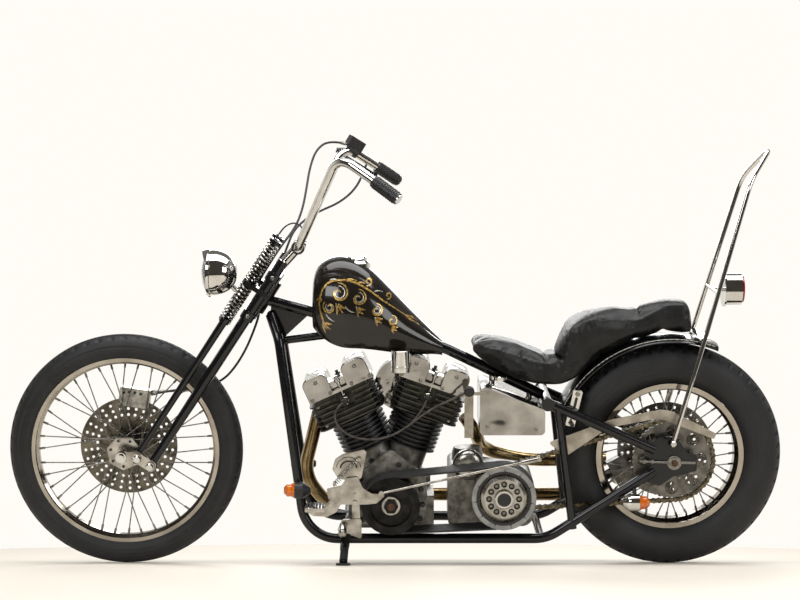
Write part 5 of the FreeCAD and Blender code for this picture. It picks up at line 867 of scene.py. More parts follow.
def dented(name, dark, light, roughness, dent_mm, depth_mm):
    """Bright metal whose long shallow dents bend what it mirrors."""
    material = finish(name, dark, light, roughness, 1.0, patch_mm=60, grain_mm=2)
    tree = material.node_tree
    place = add_node(tree, "ShaderNodeTexCoord").outputs["Object"]
    dents = add_node(tree, "ShaderNodeTexNoise",
                     {"Vector": place, "Scale": 1000 / dent_mm, "Detail": 0.6})
    return marked(material, dents.outputs[0], depth_mm)


# Chromed castings: bright, with the casting's soft waves under the plating
cast_chrome = dented("chromed_casting", "#8A8883", "#A8A6A1", (0.05, 0.14), 44, 5.0)
dress(cast_chrome, "rocker_covers", "air_cleaner")
dress(brushed_guard, "ignition_parts")
coil = [(0, 0), (25, 0), (27.4, 2), (27.6, 14), (28.4, 15), (28.4, 19), (27.6, 20), (27.6, 50),
        (27.4, 63), (25, 65), (0, 65)]
add_piece("coil_can", lathe(coil, Vector((10, -98, 595.5)), UP, 40), "frame", [old_chrome])
fasten("switch_knob", "frame", grip_rubber, [(Vector((208, -130, 545)), LEFT)], 15, 9,
       24, 3)
dress(polished_case, "timing_side")
gear_lid = [(0, 22), (20, 21), (34, 17), (42, 10), (45.5, 2), (46, 0), (46, -8), (0, -8)]
add_piece("gearbox_side_lid", lathe(gear_lid, Vector((208, -100, 320)), LEFT, 48), "frame",
          [polished_case])


def surface_of(*nodes):
    """Search tree of the CAD nodes' surface, in upright millimetres."""
    points = []
    faces = []
    upright = LEANED.inverted()
    for node in nodes:
        shape = bpy.data.objects[node]
        first = len(points)
        points += [upright @ shape.matrix_world @ v.co for v in shape.data.vertices]
        faces += [[first + i for i in face.vertices] for face in shape.data.polygons]
    return BVHTree.FromPolygons(points, faces)


def seated(surface, starts, aim, sink=0.3):
    """Places and directions where rays from the starts meet a surface nearly square on."""
    aim = Vector(aim).normalized()
    seeds = []
    for start in starts:
        place, normal, face, reach = surface.ray_cast(Vector(start), aim)
        if place is not None and abs(normal.dot(aim)) > 0.8:
            seeds.append((place + aim * sink, -aim))
    return seeds


CRANK = Vector((-18, 0, 220))


def by_cylinder(turn_deg, back, side, up):
    """Place by a cylinder's own axis, turned about the crank."""
    return CRANK + Matrix.Rotation(math.radians(turn_deg), 3, "Y") @ Vector((back, side, up))


covers = surface_of("rocker_covers")
starts = [by_cylinder(turn, back, -200, up) for turn in (-24.5, 19.5)
          for back, up in ((-92, 354), (-34, 354), (34, 354), (92, 354), (-62, 398), (62, 398))]
fasten("rocker_cover_screws", "frame", zinc_plate, seated(covers, starts, RIGHT),
       5.6, 4.5, 16, 1.4)
heads = surface_of("cylinder_heads")
starts = [by_cylinder(turn, back, -200, up) for turn in (-24.5, 19.5)
          for back in (-84, 84) for up in (268, 330)]
fasten("head_bolts", "frame", zinc_plate, seated(heads, starts, RIGHT), 6, 6, 6, 1.2)
plugs = [(by_cylinder(turn, 0, -80, 320), LEFT) for turn in (-24.5, 19.5)]
fasten("spark_plug_nuts", "frame", bright_steel, plugs, 11, 12, 6, 1.5)
fasten("spark_plug_caps", "frame", grip_rubber,
       [(place + Vector((0, -10, 0)), aim) for place, aim in plugs], 8, 17, 14, 3)
cases = surface_of("crankcase", "primary_plate")
starts = [CRANK + Vector((x, -300, z)) for x, z in (
    (-88, 24), (-94, -22), (-82, -60), (88, 30), (92, -16), (84, -58), (-58, 104), (-18, 138),
    (22, 104), (52, 74), (-88, 62))]
fasten("primary_plate_bolts", "frame", satin_black, seated(cases, starts, RIGHT), 8.5, 6, 6,
       1.6)
gears = surface_of("gearbox")
starts = [Vector((208 + 37 * math.cos(turn), -300, 330 + 37 * math.sin(turn)))
          for turn in [math.pi / 3 * i for i in range(6)]]
starts += [Vector((x, -300, z)) for x, z in ((168, 300), (176, 160), (262, 338), (390, 160))]
fasten("gearbox_screws", "frame", zinc_plate, seated(gears, starts, RIGHT), 5, 4, 6, 1)
timing = surface_of("timing_side")
starts = [CRANK + Vector((66 * math.cos(turn), 300, 66 * math.sin(turn)))
          for turn in [math.pi / 4 * i for i in range(8)]]
fasten("timing_cover_screws", "frame", zinc_plate, seated(timing, starts, LEFT), 4.5, 3, 14, 1)
cleaner = surface_of("air_cleaner")
fasten("air_cleaner_bolt", "frame", old_chrome, seated(cleaner, [(10, 300, 520)], LEFT), 8, 6,
       6, 2)

# Primary drive: a ribbed belt from the small black pulley to the clutch. The clutch is a
# split satin ring round a polished cover with a circle of nuts.
# Belt rubber: dull black, with grey dust in its ribs
belt_rubber = finish("dusty_belt_rubber", "#111111", "#232322", (0.55, 0.75), patch_mm=14,
                     grain_mm=1.2, relief_mm=0.08)
# Hard-coated pulley: charcoal with turned rings
pulley_black = turned_steel("hard_coated_pulley", "#1C1C1C", "#2E2D2C", (0.3, 0.5), CRANK, 2.5)
# Clutch cover: polished alloy with fine rings off the lathe
clutch_alloy = turned_steel("turned_clutch_alloy", "#8D8B85", "#B7B4AC", (0.14, 0.3), CLUTCH, 3)
dress(belt_rubber, "primary_belt")
dress(pulley_black, "front_pulley")
dress(clutch_alloy, "clutch")
BELT_MIDDLE = -154
BELT_WIDE = 74.0
PULLEY_BELT_R = 84.3
CLUTCH_BELT_R = 93.3
RIB_PITCH = 8
ribs, given = new_tree("belt_ribs", Wide="Float")
size = add_node(ribs, "ShaderNodeCombineXYZ", {"X": 2.6, "Y": given.outputs["Wide"], "Z": 1.4})
rib = add_node(ribs, "GeometryNodeMeshCube", {"Size": size.outputs[0]})
end_tree(ribs, given, rib.outputs[0], axis="Z")
places, aims = loop_places(CRANK, PULLEY_BELT_R, CLUTCH, CLUTCH_BELT_R, RIB_PITCH)
places = [spot + Vector((0, BELT_MIDDLE, 0)) for spot in places]
mesh = grow(ribs, belt_rubber, places, [(-aim[2], 0, aim[0]) for aim in aims], Wide=BELT_WIDE)
add_piece("belt_ribs", mesh, "frame")
clutch_face = surface_of("clutch")
RING_FACE = seated(clutch_face, [CLUTCH + Vector((86, -300, 3))], RIGHT)[0][0].y
# Satin steel of the outer clutch ring: blue-grey, evenly ground
ring_steel = turned_steel("satin_ring_steel", "#7E8081", "#989A9A", (0.34, 0.46), CLUTCH, 2)
ring = [(79, -1), (93, -1), (93.3, 1), (92.4, 2), (80, 2), (79, 1), (79, -1)]
face = CLUTCH + Vector((0, RING_FACE, 0))
add_piece("clutch_outer_ring", lathe(ring, face, LEFT, 72), "frame", [ring_steel])
# Painted shade: the dark gap inside the ring and the ring's splits are thin sheets of black enamel,
# where the real clutch has only shade in its gaps.
gap = [(71.5, -1), (79.6, -1), (79.6, 0.7), (71.5, 0.7), (71.5, -1)]
add_piece("clutch_gap_painted_shade", lathe(gap, face, LEFT, 72), "frame", [barrel_and_shade_black])


def add_box(bm, place, size):
    """Adds a box of a size round its place."""
    made = bmesh.ops.create_cube(bm, size=1)
    bmesh.ops.transform(bm, verts=made["verts"], matrix=place @ Matrix.Diagonal((*size, 1)))


SPLITS = 11
notches = bmesh.new()
for i in range(SPLITS):
    turn = Matrix.Rotation(2 * math.pi * (i + 0.3) / SPLITS, 4, "Y")
    for reach, long, wide in ((78.5, 8, 4.2), (86, 14, 0.9)):
        add_box(notches, Matrix.Translation(face) @ turn @ Matrix.Translation((reach, -1.7, 0)),
                (long, 1.2, wide))
add_piece("clutch_splits_painted_shade", closed_mesh(notches), "frame", [barrel_and_shade_black])
# Painted shade: a black disc lies on the floor round each nut, where the cover's recesses hold only
# shade.
seeds = [(CLUTCH + Vector((43 * math.cos(turn), -193, 43 * math.sin(turn))), LEFT)
         for turn in [2 * math.pi * i / 12 for i in range(12)]]
fasten("clutch_nut_recess_painted_shade", "frame", barrel_and_shade_black, seeds, 8.4, 1.5, 16, 0.3)
fasten("clutch_nuts", "frame", zinc_plate, seeds, 5.6, 8, 6, 1.2)
for name, metal, centre, out, shape in (
        ("clutch_ring", old_chrome, CLUTCH, -207, (28, 4, 40, 3)),
        ("clutch_centre", grip_rubber, CLUTCH, -211, (20, 3, 32, 2)),
        ("pulley_washer", bright_steel, CRANK, -187, (28, 3.5, 36, 1.2)),
        ("pulley_nut_thread", rusty_steel, CRANK, -203, (11, 3, 20, 1.5))):
    fasten(name, "frame", metal, [(centre + Vector((0, out, 0)), LEFT)], *shape)

# Fuel tank: a slim peanut in brown-black enamel under clear lacquer, with a chromed cap. A
# scroll ornament in gold and silver leaf curls over the shoulder of each side.
# Tank enamel: near-black brown that warms where the light grazes it, with lacquer on top
tank_enamel = finish("lacquered_brown_black_enamel", "#120F0C", "#1D1915", (0.14, 0.24),
                     patch_mm=90, grain_mm=4, relief_mm=0.008, Coat_Weight=0.55,
                     Coat_Roughness=0.04, Specular_IOR_Level=0.15)
# Gold leaf: soft yellow metal, rubbed thin in places
gold_leaf = finish("rubbed_gold_leaf", "#7A5C22", "#C9A659", (0.24, 0.4), 0.8, patch_mm=7,
                   grain_mm=0.9, relief_mm=0.03, Coat_Weight=0.6)
# Silver leaf: pale grey metal beside the gold
silver_leaf = finish("rubbed_silver_leaf", "#85847E", "#C9C8C0", (0.24, 0.4), 0.8, patch_mm=7,
                     grain_mm=0.9, relief_mm=0.03, Coat_Weight=0.6)
dress(tank_enamel, "fuel_tank")
dress(old_chrome, "fuel_cap")


def curl(x, z, reach, start_deg, turn_deg, shrink=0.25, steps=26):
    """Spiral in side view: it winds in from a start angle to a share of its reach."""
    line = []
    for step in range(steps + 1):
        share = step / steps
        turn = math.radians(start_deg + turn_deg * share)
        out = reach * (1 - share * (1 - shrink))
        line.append((x + out * math.cos(turn), z + out * math.sin(turn), share))
    return line


def leaf(x, z, heading_deg, length, bend_deg, steps=14):
    """Curved stroke from a root, along a heading that bends on its way."""
    line = [(x, z, 0.0)]
    for step in range(steps):
        turn = math.radians(heading_deg + bend_deg * step / steps)
        x += math.cos(turn) * length / steps
        z += math.sin(turn) * length / steps
        line.append((x, z, (step + 1) / steps))
    return line


def leaf_strokes(skin, lines, side, width, lift=0.45):
    """Raised ribbons laid on the tank's side along lines in side view."""
    bm = bmesh.new()
    for line in lines:
        sections = []
        for i, (x, z, share) in enumerate(line):
            place, normal, face, reach = skin.ray_cast(Vector((x, side * 300, z)),
                                                       Vector((0, -side, 0)))
            if place is None:
                break
            after = line[min(i + 1, len(line) - 1)]
            before = line[max(i - 1, 0)]
            run = Vector((after[0] - before[0], 0, after[1] - before[1]))
            run = (run - normal * run.dot(normal)).normalized()
            across = normal.cross(run)
            half = width * (0.16 + 0.84 * math.sin(math.pi * (0.06 + 0.9 * share) ** 0.8)) / 2
            sections.append([bm.verts.new(place + offset) for offset in (
                across * half - normal * 0.3, normal * lift, -across * half - normal * 0.3,
                -normal * 0.8)])
        if len(sections) > 1:
            bridge(bm, sections)
            bm.faces.new(sections[0])
            bm.faces.new(sections[-1])
    return closed_mesh(bm)


VINE = [(-214, 742), (-226, 800), (-204, 852), (-150, 862), (-96, 842), (-40, 802), (14, 764),
        (64, 726)]


def vine(points, steps=60):
    """Smooth stem through chosen places, with its share of the way at each step."""
    line = []
    spans = len(points) - 1
    for step in range(steps + 1):
        along = spans * step / steps
        i = min(int(along), spans - 1)
        t = along - i
        knots = [points[max(0, min(spans, i + k))] for k in (-1, 0, 1, 2)]
        spot = [0.5 * (2 * b + (c - a) * t + (2 * a - 5 * b + 4 * c - d) * t * t
                       + (3 * b - a - 3 * c + d) * t ** 3)
                for a, b, c, d in zip(*knots)]
        line.append((spot[0], spot[1], 0.2 + 0.6 * step / steps))
    return line


GOLD_LINES = [vine(VINE), curl(-168, 826, 30, 95, -430, 0.16), curl(-196, 786, 20, 130, 420, 0.2),
              curl(-112, 812, 25, 90, -430, 0.16), curl(-60, 776, 20, 90, -430, 0.18),
              curl(-14, 744, 16, 90, -420, 0.2), curl(-84, 856, 12, 240, 400, 0.25),
              curl(-26, 814, 10, 240, 400, 0.25)]
for root_x, root_z, first_deg, length in ((-168, 796, -120, 34), (-112, 787, -110, 30),
                                          (-60, 756, -104, 26), (-14, 728, -100, 22),
                                          (-214, 742, -100, 36), (-222, 812, -160, 16)):
    GOLD_LINES += [leaf(root_x, root_z, first_deg + 34 * i, length * (1 - 0.12 * i), 46)
                   for i in range(3)]
GOLD_LINES += [leaf(-150, 862, 18, 34, -50), leaf(-120, 852, 22, 28, -50),
               leaf(24, 757, -16, 40, -30), leaf(24, 757, -52, 34, 30)]
SILVER_LINES = [curl(-168, 826, 21, 95, -400, 0.2), curl(-196, 786, 12, 130, 380, 0.3),
                curl(-112, 812, 17, 90, -400, 0.2), curl(-60, 776, 13, 90, -400, 0.25),
                leaf(-176, 798, -100, 26, 60), leaf(-118, 790, -90, 24, 60),
                leaf(-64, 758, -90, 20, 60), leaf(-216, 746, -84, 30, 40),
                leaf(-196, 862, 24, 30, -60), leaf(-66, 828, 16, 26, -50),
                leaf(-206, 766, -64, 34, 50), leaf(-150, 790, -60, 36, 60)]
skin = surface_of("fuel_tank")
for side, label in ((-1, "left"), (1, "right")):
    for lines, leafing, width, kind in ((GOLD_LINES, gold_leaf, 9.6, "gold"),
                                        (SILVER_LINES, silver_leaf, 6.0, "silver")):
        add_piece("tank_%s_scrolls_%s" % (kind, label), leaf_strokes(skin, lines, side, width),
                  "frame", [leafing], sharp_deg=80)
fasten("fuel_cap_grip", "frame", old_chrome, [(Vector((-112, 0, 903)), (-0.18, 0, 1))],
       25, 12, 18, 5)

# Seat: one black leather pad in two levels. It is stuffed full, drawn tight at its lower edge,
# and gathered into folds at the step and before the rear rise.
# Black seat leather: fine creased grain, with a sheen where it is sat on
leather = finish("creased_black_leather", "#0B0B0B", "#171615", (0.36, 0.52), patch_mm=40,
                 grain_mm=2.2, relief_mm=0.22, Specular_IOR_Level=0.32)
SEAT_LINE = [(212, 666, 8), (226, 690, 14), (300, 664, 70), (428, 612, 50), (484, 618, 12),
             (500, 722, 34), (560, 758, 60), (700, 742, 80), (786, 792, 60), (852, 796, 24),
             (868, 706, 12), (780, 716, 60), (690, 706, 90), (590, 650, 60), (512, 568, 40),
             (470, 552, 14), (400, 556, 60), (330, 590, 80)]
SEAT_HALF = 92
SEAT_FRAMES = 20
SEAT_SWELL = 0.024


def seat_width(x):
    """Half width of the seat along its length: narrow nose, wide saddle, slimmer pillion."""
    share = (x - 205) / 670
    return SEAT_HALF * (0.55 + 0.45 * math.sin(math.pi * min(1, 0.12 + 1.05 * share) ** 0.8) ** 0.7)


def seat_block():
    """Plain block of the seat in side view, rounded over its top and sides, in metres."""
    outline = rounded(SEAT_LINE, 7)
    bm = bmesh.new()
    rows = 13
    rings = []
    for row in range(rows):
        share = 2 * row / (rows - 1) - 1
        pull = 1 - 0.16 * abs(share) ** 3.2
        ring = []
        for point in outline:
            centre_z = 0.5 * (point.y + 640 + 0.12 * (point.x - 500))
            z = centre_z + (point.y - centre_z) * pull
            ring.append(bm.verts.new((point.x, share * seat_width(point.x), z)))
        rings.append(ring)
    bridge(bm, rings)
    for ring in (rings[0], rings[-1]):
        edges = [bm.edges.get((ring[i - 1], ring[i])) for i in range(len(ring))]
        bmesh.ops.triangle_fill(bm, use_beauty=True, edges=edges)
    mesh = closed_mesh(bm)
    mesh.transform(LEANED)
    return mesh


def apply_modifiers(piece):
    """Mesh as the piece's modifiers leave it, with none left on it."""
    graph = bpy.context.evaluated_depsgraph_get()
    made = bpy.data.meshes.new_from_object(piece.evaluated_get(graph))
    old = piece.data
    piece.modifiers.clear()
    piece.data = made
    bpy.data.meshes.remove(old)


holder = bpy.data.objects.new("leather_seat", seat_block())
bpy.context.collection.objects.link(holder)
remesh = holder.modifiers.new("even", "REMESH")
remesh.mode = "VOXEL"
remesh.voxel_size = 0.0055
apply_modifiers(holder)
start_points = [vertex.co.copy() for vertex in holder.data.vertices]
cloth = holder.modifiers.new("stuffing", "CLOTH")
cloth.settings.effector_weights.gravity = 0
cloth.settings.use_pressure = True
cloth.settings.uniform_pressure_force = 4
cloth.settings.quality = 5
cloth.settings.mass = 0.3
cloth.settings.tension_stiffness = 15
cloth.settings.compression_stiffness = 15
cloth.settings.bending_stiffness = 0.5
cloth.point_cache.frame_start = 1
cloth.point_cache.frame_end = SEAT_FRAMES
for step in range(1, SEAT_FRAMES + 1):
    bpy.context.scene.frame_set(step)
apply_modifiers(holder)
bpy.context.scene.frame_set(1)
for vertex, start in zip(holder.data.vertices, start_points):
    moved = vertex.co - start
    if moved.length > SEAT_SWELL:
        vertex.co = start + moved.normalized() * SEAT_SWELL


def fold_depth(x, y, z):
    """How far the gathered folds pull the leather in, by place on the upright seat."""
    depth = 0.0
    for fold_x, fold_z, reach, pitch, deep in ((508, 700, 52, 11, 2.6), (560, 752, 48, 13, 2.2),
                                               (790, 770, 46, 14, 2.0), (470, 606, 40, 12, 1.8)):
        off = math.hypot(x - fold_x, z - fold_z) / reach
        if off < 1:
            spread = math.atan2(z - fold_z + 60, x - fold_x - 30) * reach
            wave = math.sin(2 * math.pi * (spread + 0.25 * y + 6 * math.sin(y / 17)) / pitch)
            depth += deep * (1 - off) ** 1.2 * (0.5 + 0.5 * wave)
    return depth


upright = LEANED.inverted()
holder.data.update()
normals = [vertex.normal.copy() for vertex in holder.data.vertices]
for vertex, normal in zip(holder.data.vertices, normals):
    spot = upright @ vertex.co
    vertex.co -= normal * fold_depth(*spot) / 1000
smooth = holder.modifiers.new("finer", "SUBSURF")
smooth.levels = smooth.render_levels = 1
apply_modifiers(holder)
seat_mesh = holder.data.copy()
bpy.data.objects.remove(holder)
seat = add_piece("leather_seat", seat_mesh, "frame", [leather], Matrix(), 70)
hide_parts("seat")

# Rear fender: a plain steel strip close over the tyre, black with one pale pin line along
# its edge. A slotted bright strut and a strap to the sissy bar hold it.
FENDER_R = 352
FENDER_CROWN = 9
FENDER_HALF = 76
FENDER_WALL = 2.5
FENDER_FROM = 158
FENDER_TO = 68
LIP_DROP = 5
LIP_FROM = 0.88


def fender_strip(steps=64, rows=14):
    """Crowned strip over the rear wheel between two angles, with a wall and rolled edges."""
    bm = bmesh.new()
    section = []
    for row in range(rows + 1):
        share = 2 * row / rows - 1
        lip = LIP_DROP * max(0, abs(share) - LIP_FROM) / (1 - LIP_FROM)
        section.append((share * FENDER_HALF,
                        FENDER_R + FENDER_CROWN * (1 - share * share) - lip))
    section += [(side, reach - FENDER_WALL) for side, reach in reversed(section)]
    rings = []
    for step in range(steps + 1):
        turn = math.radians(FENDER_FROM + (FENDER_TO - FENDER_FROM) * step / steps)
        rings.append([bm.verts.new(REAR_HUB + Vector((reach * math.cos(turn), side,
                                                      reach * math.sin(turn))))
                      for side, reach in section])
    bridge(bm, rings)
    for ring in (rings[0], rings[-1]):
        for i in range(rows):
            bm.faces.new((ring[i], ring[i + 1], ring[-2 - i], ring[-1 - i]))
    return closed_mesh(bm)


fender = add_piece("black_fender", fender_strip(), "frame", [black_enamel])
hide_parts("rear_fender")
# Pin line paint: off-white, a little worn
line_paint = finish("worn_white_line_paint", "#B9B5AA", "#DEDBD2", (0.3, 0.45), patch_mm=14,
                    grain_mm=2, relief_mm=0.01)
LINE_FROM = 156
LINE_ROUND = 86
LINE_STEPS = 72
LINE_LOW = FENDER_HALF - 9
LINE_HIGH = FENDER_HALF - 7
bm = bmesh.new()
for side in (-1, 1):
    for step in range(LINE_STEPS):
        turns = [math.radians(LINE_FROM - LINE_ROUND * (step + k) / LINE_STEPS) for k in (0, 1)]
        corners = []
        for lift in (0.5, -0.6):
            for turn, out in ((turns[0], LINE_LOW), (turns[0], LINE_HIGH), (turns[1], LINE_HIGH),
                              (turns[1], LINE_LOW)):
                reach = FENDER_R + FENDER_CROWN * (1 - (out / FENDER_HALF) ** 2) + lift
                corners.append(bm.verts.new(REAR_HUB + Vector((
                    reach * math.cos(turn), side * out, reach * math.sin(turn)))))
        for quad in ((0, 1, 2, 3), (7, 6, 5, 4), (0, 4, 5, 1), (2, 6, 7, 3)):
            bm.faces.new([corners[i] for i in quad])
bmesh.ops.remove_doubles(bm, verts=bm.verts, dist=0.01)
bmesh.ops.holes_fill(bm, edges=bm.edges, sides=6)
add_piece("fender_pin_line", closed_mesh(bm), "frame", [line_paint])
strut = side_plate([(-13.5, 0, 4), (13.5, 0, 4), (13.5, 109, 4), (-13.5, 109, 4)], -87, -82)
# Painted shade: a thin black plate on the strut stands for its slot, where there is only shade.
slot_shade_plate = side_plate([(-4, 22, 4), (4, 22, 4), (4, 88, 4), (-4, 88, 4)], -87.6, -86.6, 0)
tilt = Matrix.Translation((504, 0, 433)) @ Matrix.Rotation(math.radians(12.8), 4, "Y")
add_piece("fender_strut", strut, "frame", [old_chrome], LEANED @ tilt)
add_piece("fender_strut_slot_painted_shade", slot_shade_plate, "frame", [barrel_and_shade_black], LEANED @ tilt)
seeds = [(tilt @ Vector((0, -86, up)), LEFT) for up in (11, 98)]
fasten("fender_strut_bolts", "frame", zinc_plate, seeds, 7.5, 6, 6, 1.2)
fasten("fender_strut_pin", "frame", black_enamel, [(tilt @ Vector((2, -118, 10)), RIGHT)],
       6.5, 34, 14, 1)

# Sissy bar: a tall chromed loop bolted at the axle plates, strapped to the fender. The tail
# lamp stands on its cross plate, a chromed bullet with a red glass.
# Ruby lamp glass: deep red, lit from within by what falls through it
red_glass = finish("ruby_lamp_glass", "#7A0B0A", "#A51410", (0.06, 0.12), patch_mm=12, grain_mm=3,
                   relief_mm=0.05, Transmission_Weight=0.35, Coat_Weight=0.6)
# Amber lamp glass of the signals
amber_glass = finish("amber_lamp_glass", "#C4560C", "#E87A17", (0.08, 0.15), patch_mm=10,
                     grain_mm=3, relief_mm=0.05, Transmission_Weight=0.3, Coat_Weight=0.6)
dress(old_chrome, "sissy_bar", "tail_lamp")
dress(red_glass, "tail_lens")
dress(satin_black, "turn_signals")
dress(amber_glass, "signal_lenses")
for end, front, side, height, aim in (("front", -304, 170, 262, -1), ("rear", 708, 158, 222, 1)):
    seeds = [(Vector((front, y, height)), (aim, 0, 0)) for y in (-side, side)]
    fasten(end + "_signal_domes", "frame", amber_glass, seeds, 18.5, 14, 24, 9)
cup = [(0, 0.5), (25, 0.5), (25, 24), (22, 33), (10, 47), (0, 48)]
shells = joined([lathe(cup, Vector((701, y, 222)), (-1, 0, 0)) for y in (-158, 158)])
add_piece("rear_signal_shells", shells, "frame", [old_chrome])
strap = bmesh.new()
for low, high in (((874, -106, 690), (906, 106, 695)), ((874, -28, 676), (879, 28, 692))):
    add_box(strap, Matrix.Translation([(a + b) / 2 for a, b in zip(low, high)]),
            [b - a for a, b in zip(low, high)])
add_piece("fender_strap", closed_mesh(strap), "frame", [old_chrome])
seeds = [(Vector((799, side * 141, 392)), (0, side, 0)) for side in (-1, 1)]
fasten("sissy_foot_bolts", "frame", old_chrome, seeds, 10, 7, 6, 2)
bullet = [(0, 0), (16, 1.5), (28, 6), (37, 14), (42, 24), (43, 36), (45, 37), (45, 41), (42, 42)]
tail = lathe(bullet + [(0, 42)], Vector((964, 0, 826)), BACK, 48)
add_piece("tail_lamp_bullet", tail, "frame", [old_chrome])

# Exhaust: two pipes of blued and browned chrome down to the right, and an oil tank of
# polished steel with wavy dents under the seat.
# Heat-tinted chrome: straw and brown near the ports, with soot in the pores
heat_chrome = finish("heat_tinted_chrome", "#5C4A2E", "#A38F68", (0.14, 0.3), 1.0, patch_mm=60,
                     grain_mm=2.2, relief_mm=0.03)
# Polished sheet steel: mirror-like over long shallow dents
dented_steel = dented("dented_polished_steel", "#8F8C87", "#B0AEA9", (0.08, 0.18), 96, 15.0)
dress(heat_chrome, "exhaust_pipes")
dress(dented_steel, "oil_tank")
tank_side = surface_of("oil_tank")
starts = [Vector((x, -300, z)) for x, z in ((262, 438), (404, 430), (262, 540), (404, 520))]
fasten("oil_tank_bolts", "frame", zinc_plate, seated(tank_side, starts, RIGHT), 5.5, 4, 6, 1)
fasten("oil_filler_cap", "frame", old_chrome, [(Vector((300, -60, 566)), UP)], 20, 9, 20, 3)

# Foot clutch: a slotted quarter plate and a cast lever of dull nickel on the left, with a
# coil spring across them. A long rod runs back to the clutch arm.
QUARTER = [(-186, 334, 10), (-178, 363, 16), (-157, 377, 12), (-95, 392, 8), (-88, 383, 5),
           (-94, 354, 10), (-102, 310, 6), (-121, 296, 4), (-170, 308, 10)]
LEVER = [(-202, 277, 3), (-157, 290, 6), (-146, 309, 7), (-113, 313, 8), (-99, 281, 10),
         (-73, 264, 8), (-53, 263, 4), (-40, 276, 2), (-37, 256, 4), (-60, 235, 8), (-88, 232, 8),
         (-162, 232, 6), (-174, 210, 7), (-200, 196, 9), (-241, 198, 6), (-260, 211, 4),
         (-251, 224, 4), (-231, 215, 4), (-209, 219, 7), (-196, 241, 9)]
POST = [(-132, 100, 4), (-108, 100, 4), (-108, 272, 8), (-132, 272, 8)]
PAD = [(-262, 224, 3), (-206, 224, 3), (-206, 235, 3), (-262, 235, 3)]
clutch = [side_plate(QUARTER, -213, -207), side_plate(LEVER, -219, -213, 1.2)]
spiral_mesh = grow(spring_tree, bright_steel, [Vector()], [UP], Turns=16, Radius=6.2, Wire=1.3,
                   Long=98.0)
spring_aim = Vector((70, 0, 73)).to_track_quat("Z", "Y").to_matrix().to_4x4()
spiral_mesh.transform(Matrix.Translation((-179, -227, 294)) @ spring_aim)
add_piece("foot_clutch_spring", spiral_mesh, "frame")
clutch += [path_tube([(-45, -232, 268), (150, -232, 312), (360, -232, 358)], 3.6),
           path_tube([(355, -232, 357), (380, -232, 362.5), (405, -232, 368)], 7)]
for place, reach, near, far in (((-45, 268), 8, -239, -213), ((-179, 294), 5, -235, -207),
                                ((-109, 367), 5, -235, -207), ((-121, 237), 7, -225, -132),
                                ((-121, 261), 6, -223, -132), ((405, 368), 6, -240, -205)):
    long = far - near
    pin = [(0, 0), (reach, 0), (reach, long - 1), (reach - 1, long), (0, long)]
    clutch.append(lathe(pin, Vector((place[0], near, place[1])), RIGHT, 18))
clutch += [side_plate(POST, -140, -131, 1), side_plate(PAD, -277, -213, 1)]
foot = add_piece("foot_clutch_set", joined(clutch), "frame", [dull_nickel])
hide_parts("foot_clutch")
# Painted shade: thin black plates on the quarter plate stand for its slots, where there is only
# shade.
slots = []
for reach, width in ((24, 5), (36, 2)):
    arc = []
    for edge, first, round_by in ((width / 2, 0.05, 0.9), (-width / 2, 0.95, -0.9)):
        arc += [(-139 + (reach + edge) * math.cos(t), 334 + (reach + edge) * math.sin(t), 1)
                for t in [math.pi * (first + round_by * i / 10) for i in range(11)]]
    slots.append(side_plate(arc, -213.6, -212.9, 0))
add_piece("quarter_plate_slot_painted_shade", joined(slots), "frame", [barrel_and_shade_black])
treads = [(Vector((-256 + 9 * i, -218 - 9 * j, 234.6)), UP) for i in range(6) for j in range(6)]
fasten("pedal_pad_nubs", "frame", grip_rubber, treads, 3.2, 3, 8, 0.8)
peg = lathe([(0, 0), (6, 0), (10, 3), (12, 8), (12, 94), (9, 99), (0, 100)],
            Vector((-157, -238, 150)), RIGHT, 24)
add_piece("left_peg", peg, "frame", [bright_steel])
peg_plate = side_plate([(-176, 134, 6), (-104, 110, 6), (-104, 170, 8), (-160, 168, 10)],
                       -144, -138, 1)
add_piece("peg_plate", peg_plate, "frame", [dull_nickel])

# Small running parts: a polished front caliper, a rear one of grey cast alloy, a black brake
# pedal, and a black side stand with a rubber sleeve round it.
dress(polished_case, "front_caliper")
dress(case_alloy, "rear_caliper")
dress(satin_black, "brake_pedal", "side_stand")
sleeve = path_tube([(-153, -184, 84), (-154, -202, 74), (-155, -220, 63.7)], 12, 16)
add_piece("stand_sleeve", sleeve, "side_stand", [grip_rubber])
calipers = surface_of("front_caliper")
starts = [Vector((x, -300, z)) for x, z in ((-816, 510), (-799, 512), (-782, 510), (-765, 506))]
fasten("caliper_bolts", "fork", satin_black, seated(calipers, starts, RIGHT), 4.5, 3, 6, 1)

# Cables and leads: thin black tubes that follow the bars and fork, and two plug leads from
# the coil, each in one easy curve.
# Black cable sheath: smooth plastic, dulled by handling
cable_sheath = finish("black_cable_sheath", "#0B0B0B", "#161616", (0.3, 0.45), patch_mm=20,
                      grain_mm=1.2, relief_mm=0.03)
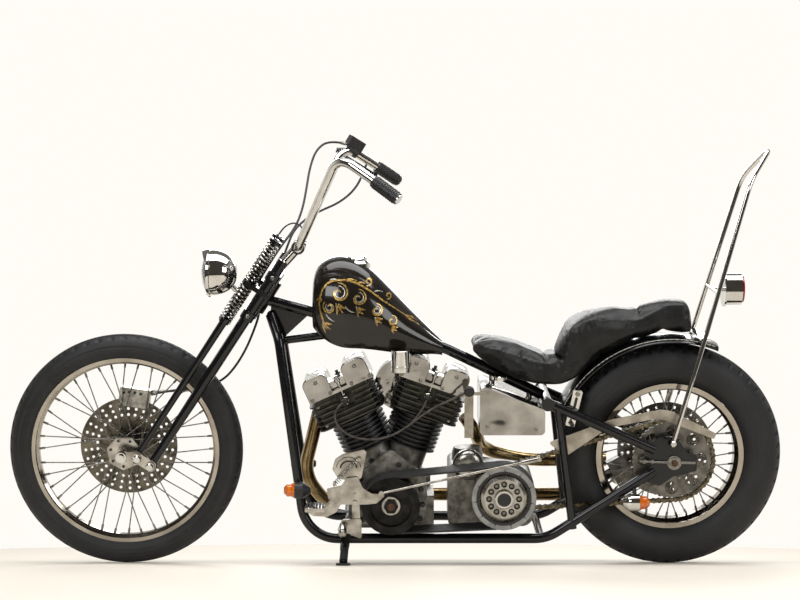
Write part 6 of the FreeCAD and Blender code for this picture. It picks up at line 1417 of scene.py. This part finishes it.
# Lead insulation: brown-grey rubber with a dusty bloom
lead_rubber = finish("brown_grey_lead_rubber", "#2B2622", "#4A433B", (0.4, 0.6), patch_mm=18,
                     grain_mm=1.2, relief_mm=0.04)
BRAKE_HOSE = [Vector(place) for place in (
    (-156.7, 262.5, 1237.7), (-205, 244, 1250), (-245, 215, 1225), (-264, 180, 1170),
    (-272, 140, 1110), (-282, 100, 1052), (-302, 62, 1000))]
BRAKE_HOSE += [on_fork(*place) for place in (
    (-40, 30, 110), (-40, 24, 45), (-38, 34, -15), (-8, 50, -50), (17, 54, -96), (30, 47, -148),
    (40, 42, -205), (42, 42, -265), (34, 50, -320), (2, 55, -368), (-45, 56, -405),
    (-90, 55, -445), (-123.6, 53.3, -476.1))]
THROTTLE_CABLE = [Vector(place) for place in (
    (-96, 296, 1172), (-112, 286, 1126), (-142, 258, 1086), (-184, 220, 1058),
    (-230, 176, 1042), (-273.2, 130, 1021.4))]
THROTTLE_CABLE += [on_fork(*place) for place in ((-34, 78, 168), (-22, 62, 112), (-8, 57, 54.2))]
LAMP_CABLE = [Vector(place) for place in (
    (-351.7, -58, 976.7), (-334, -54, 1012), (-296, -46, 1030), (-268, -38, 1004),
    (-282, -32.7, 970.7))]
for name, route, radius in (("brake_hose", BRAKE_HOSE, 3.5),
                            ("throttle_cable", THROTTLE_CABLE, 3.5),
                            ("lamp_cable", LAMP_CABLE, 2.4)):
    add_piece(name, path_tube(route, radius, 3), "fork", [cable_sheath])
seeds = [(BRAKE_HOSE[-1], BRAKE_HOSE[-2] - BRAKE_HOSE[-1]),
         (BRAKE_HOSE[0], BRAKE_HOSE[1] - BRAKE_HOSE[0])]
fasten("brake_hose_ends", "fork", zinc_plate, seeds, 5.2, 16, 12, 1)
FRONT_LEAD = [Vector((x, side - 98, z)) for x, side, z in (
    (-151, 0, 511), (-176, 0, 492), (-184, 0, 459), (-168, 0, 428), (-136, 0, 405),
    (-96, 0, 395), (-52, 0, 396), (-8, 0, 410), (32, 0, 436), (72, 0, 468), (116, -2, 496),
    (160, -12, 517), (200, -26, 541))]
REAR_LEAD = [Vector((x, -98, z)) for x, z in ((89, 521), (79, 496), (64, 472), (44, 446))]
for name, route in (("front_plug_lead", FRONT_LEAD), ("rear_plug_lead", REAR_LEAD)):
    add_piece(name, path_tube(route, 3.5, 3), "frame", [lead_rubber])
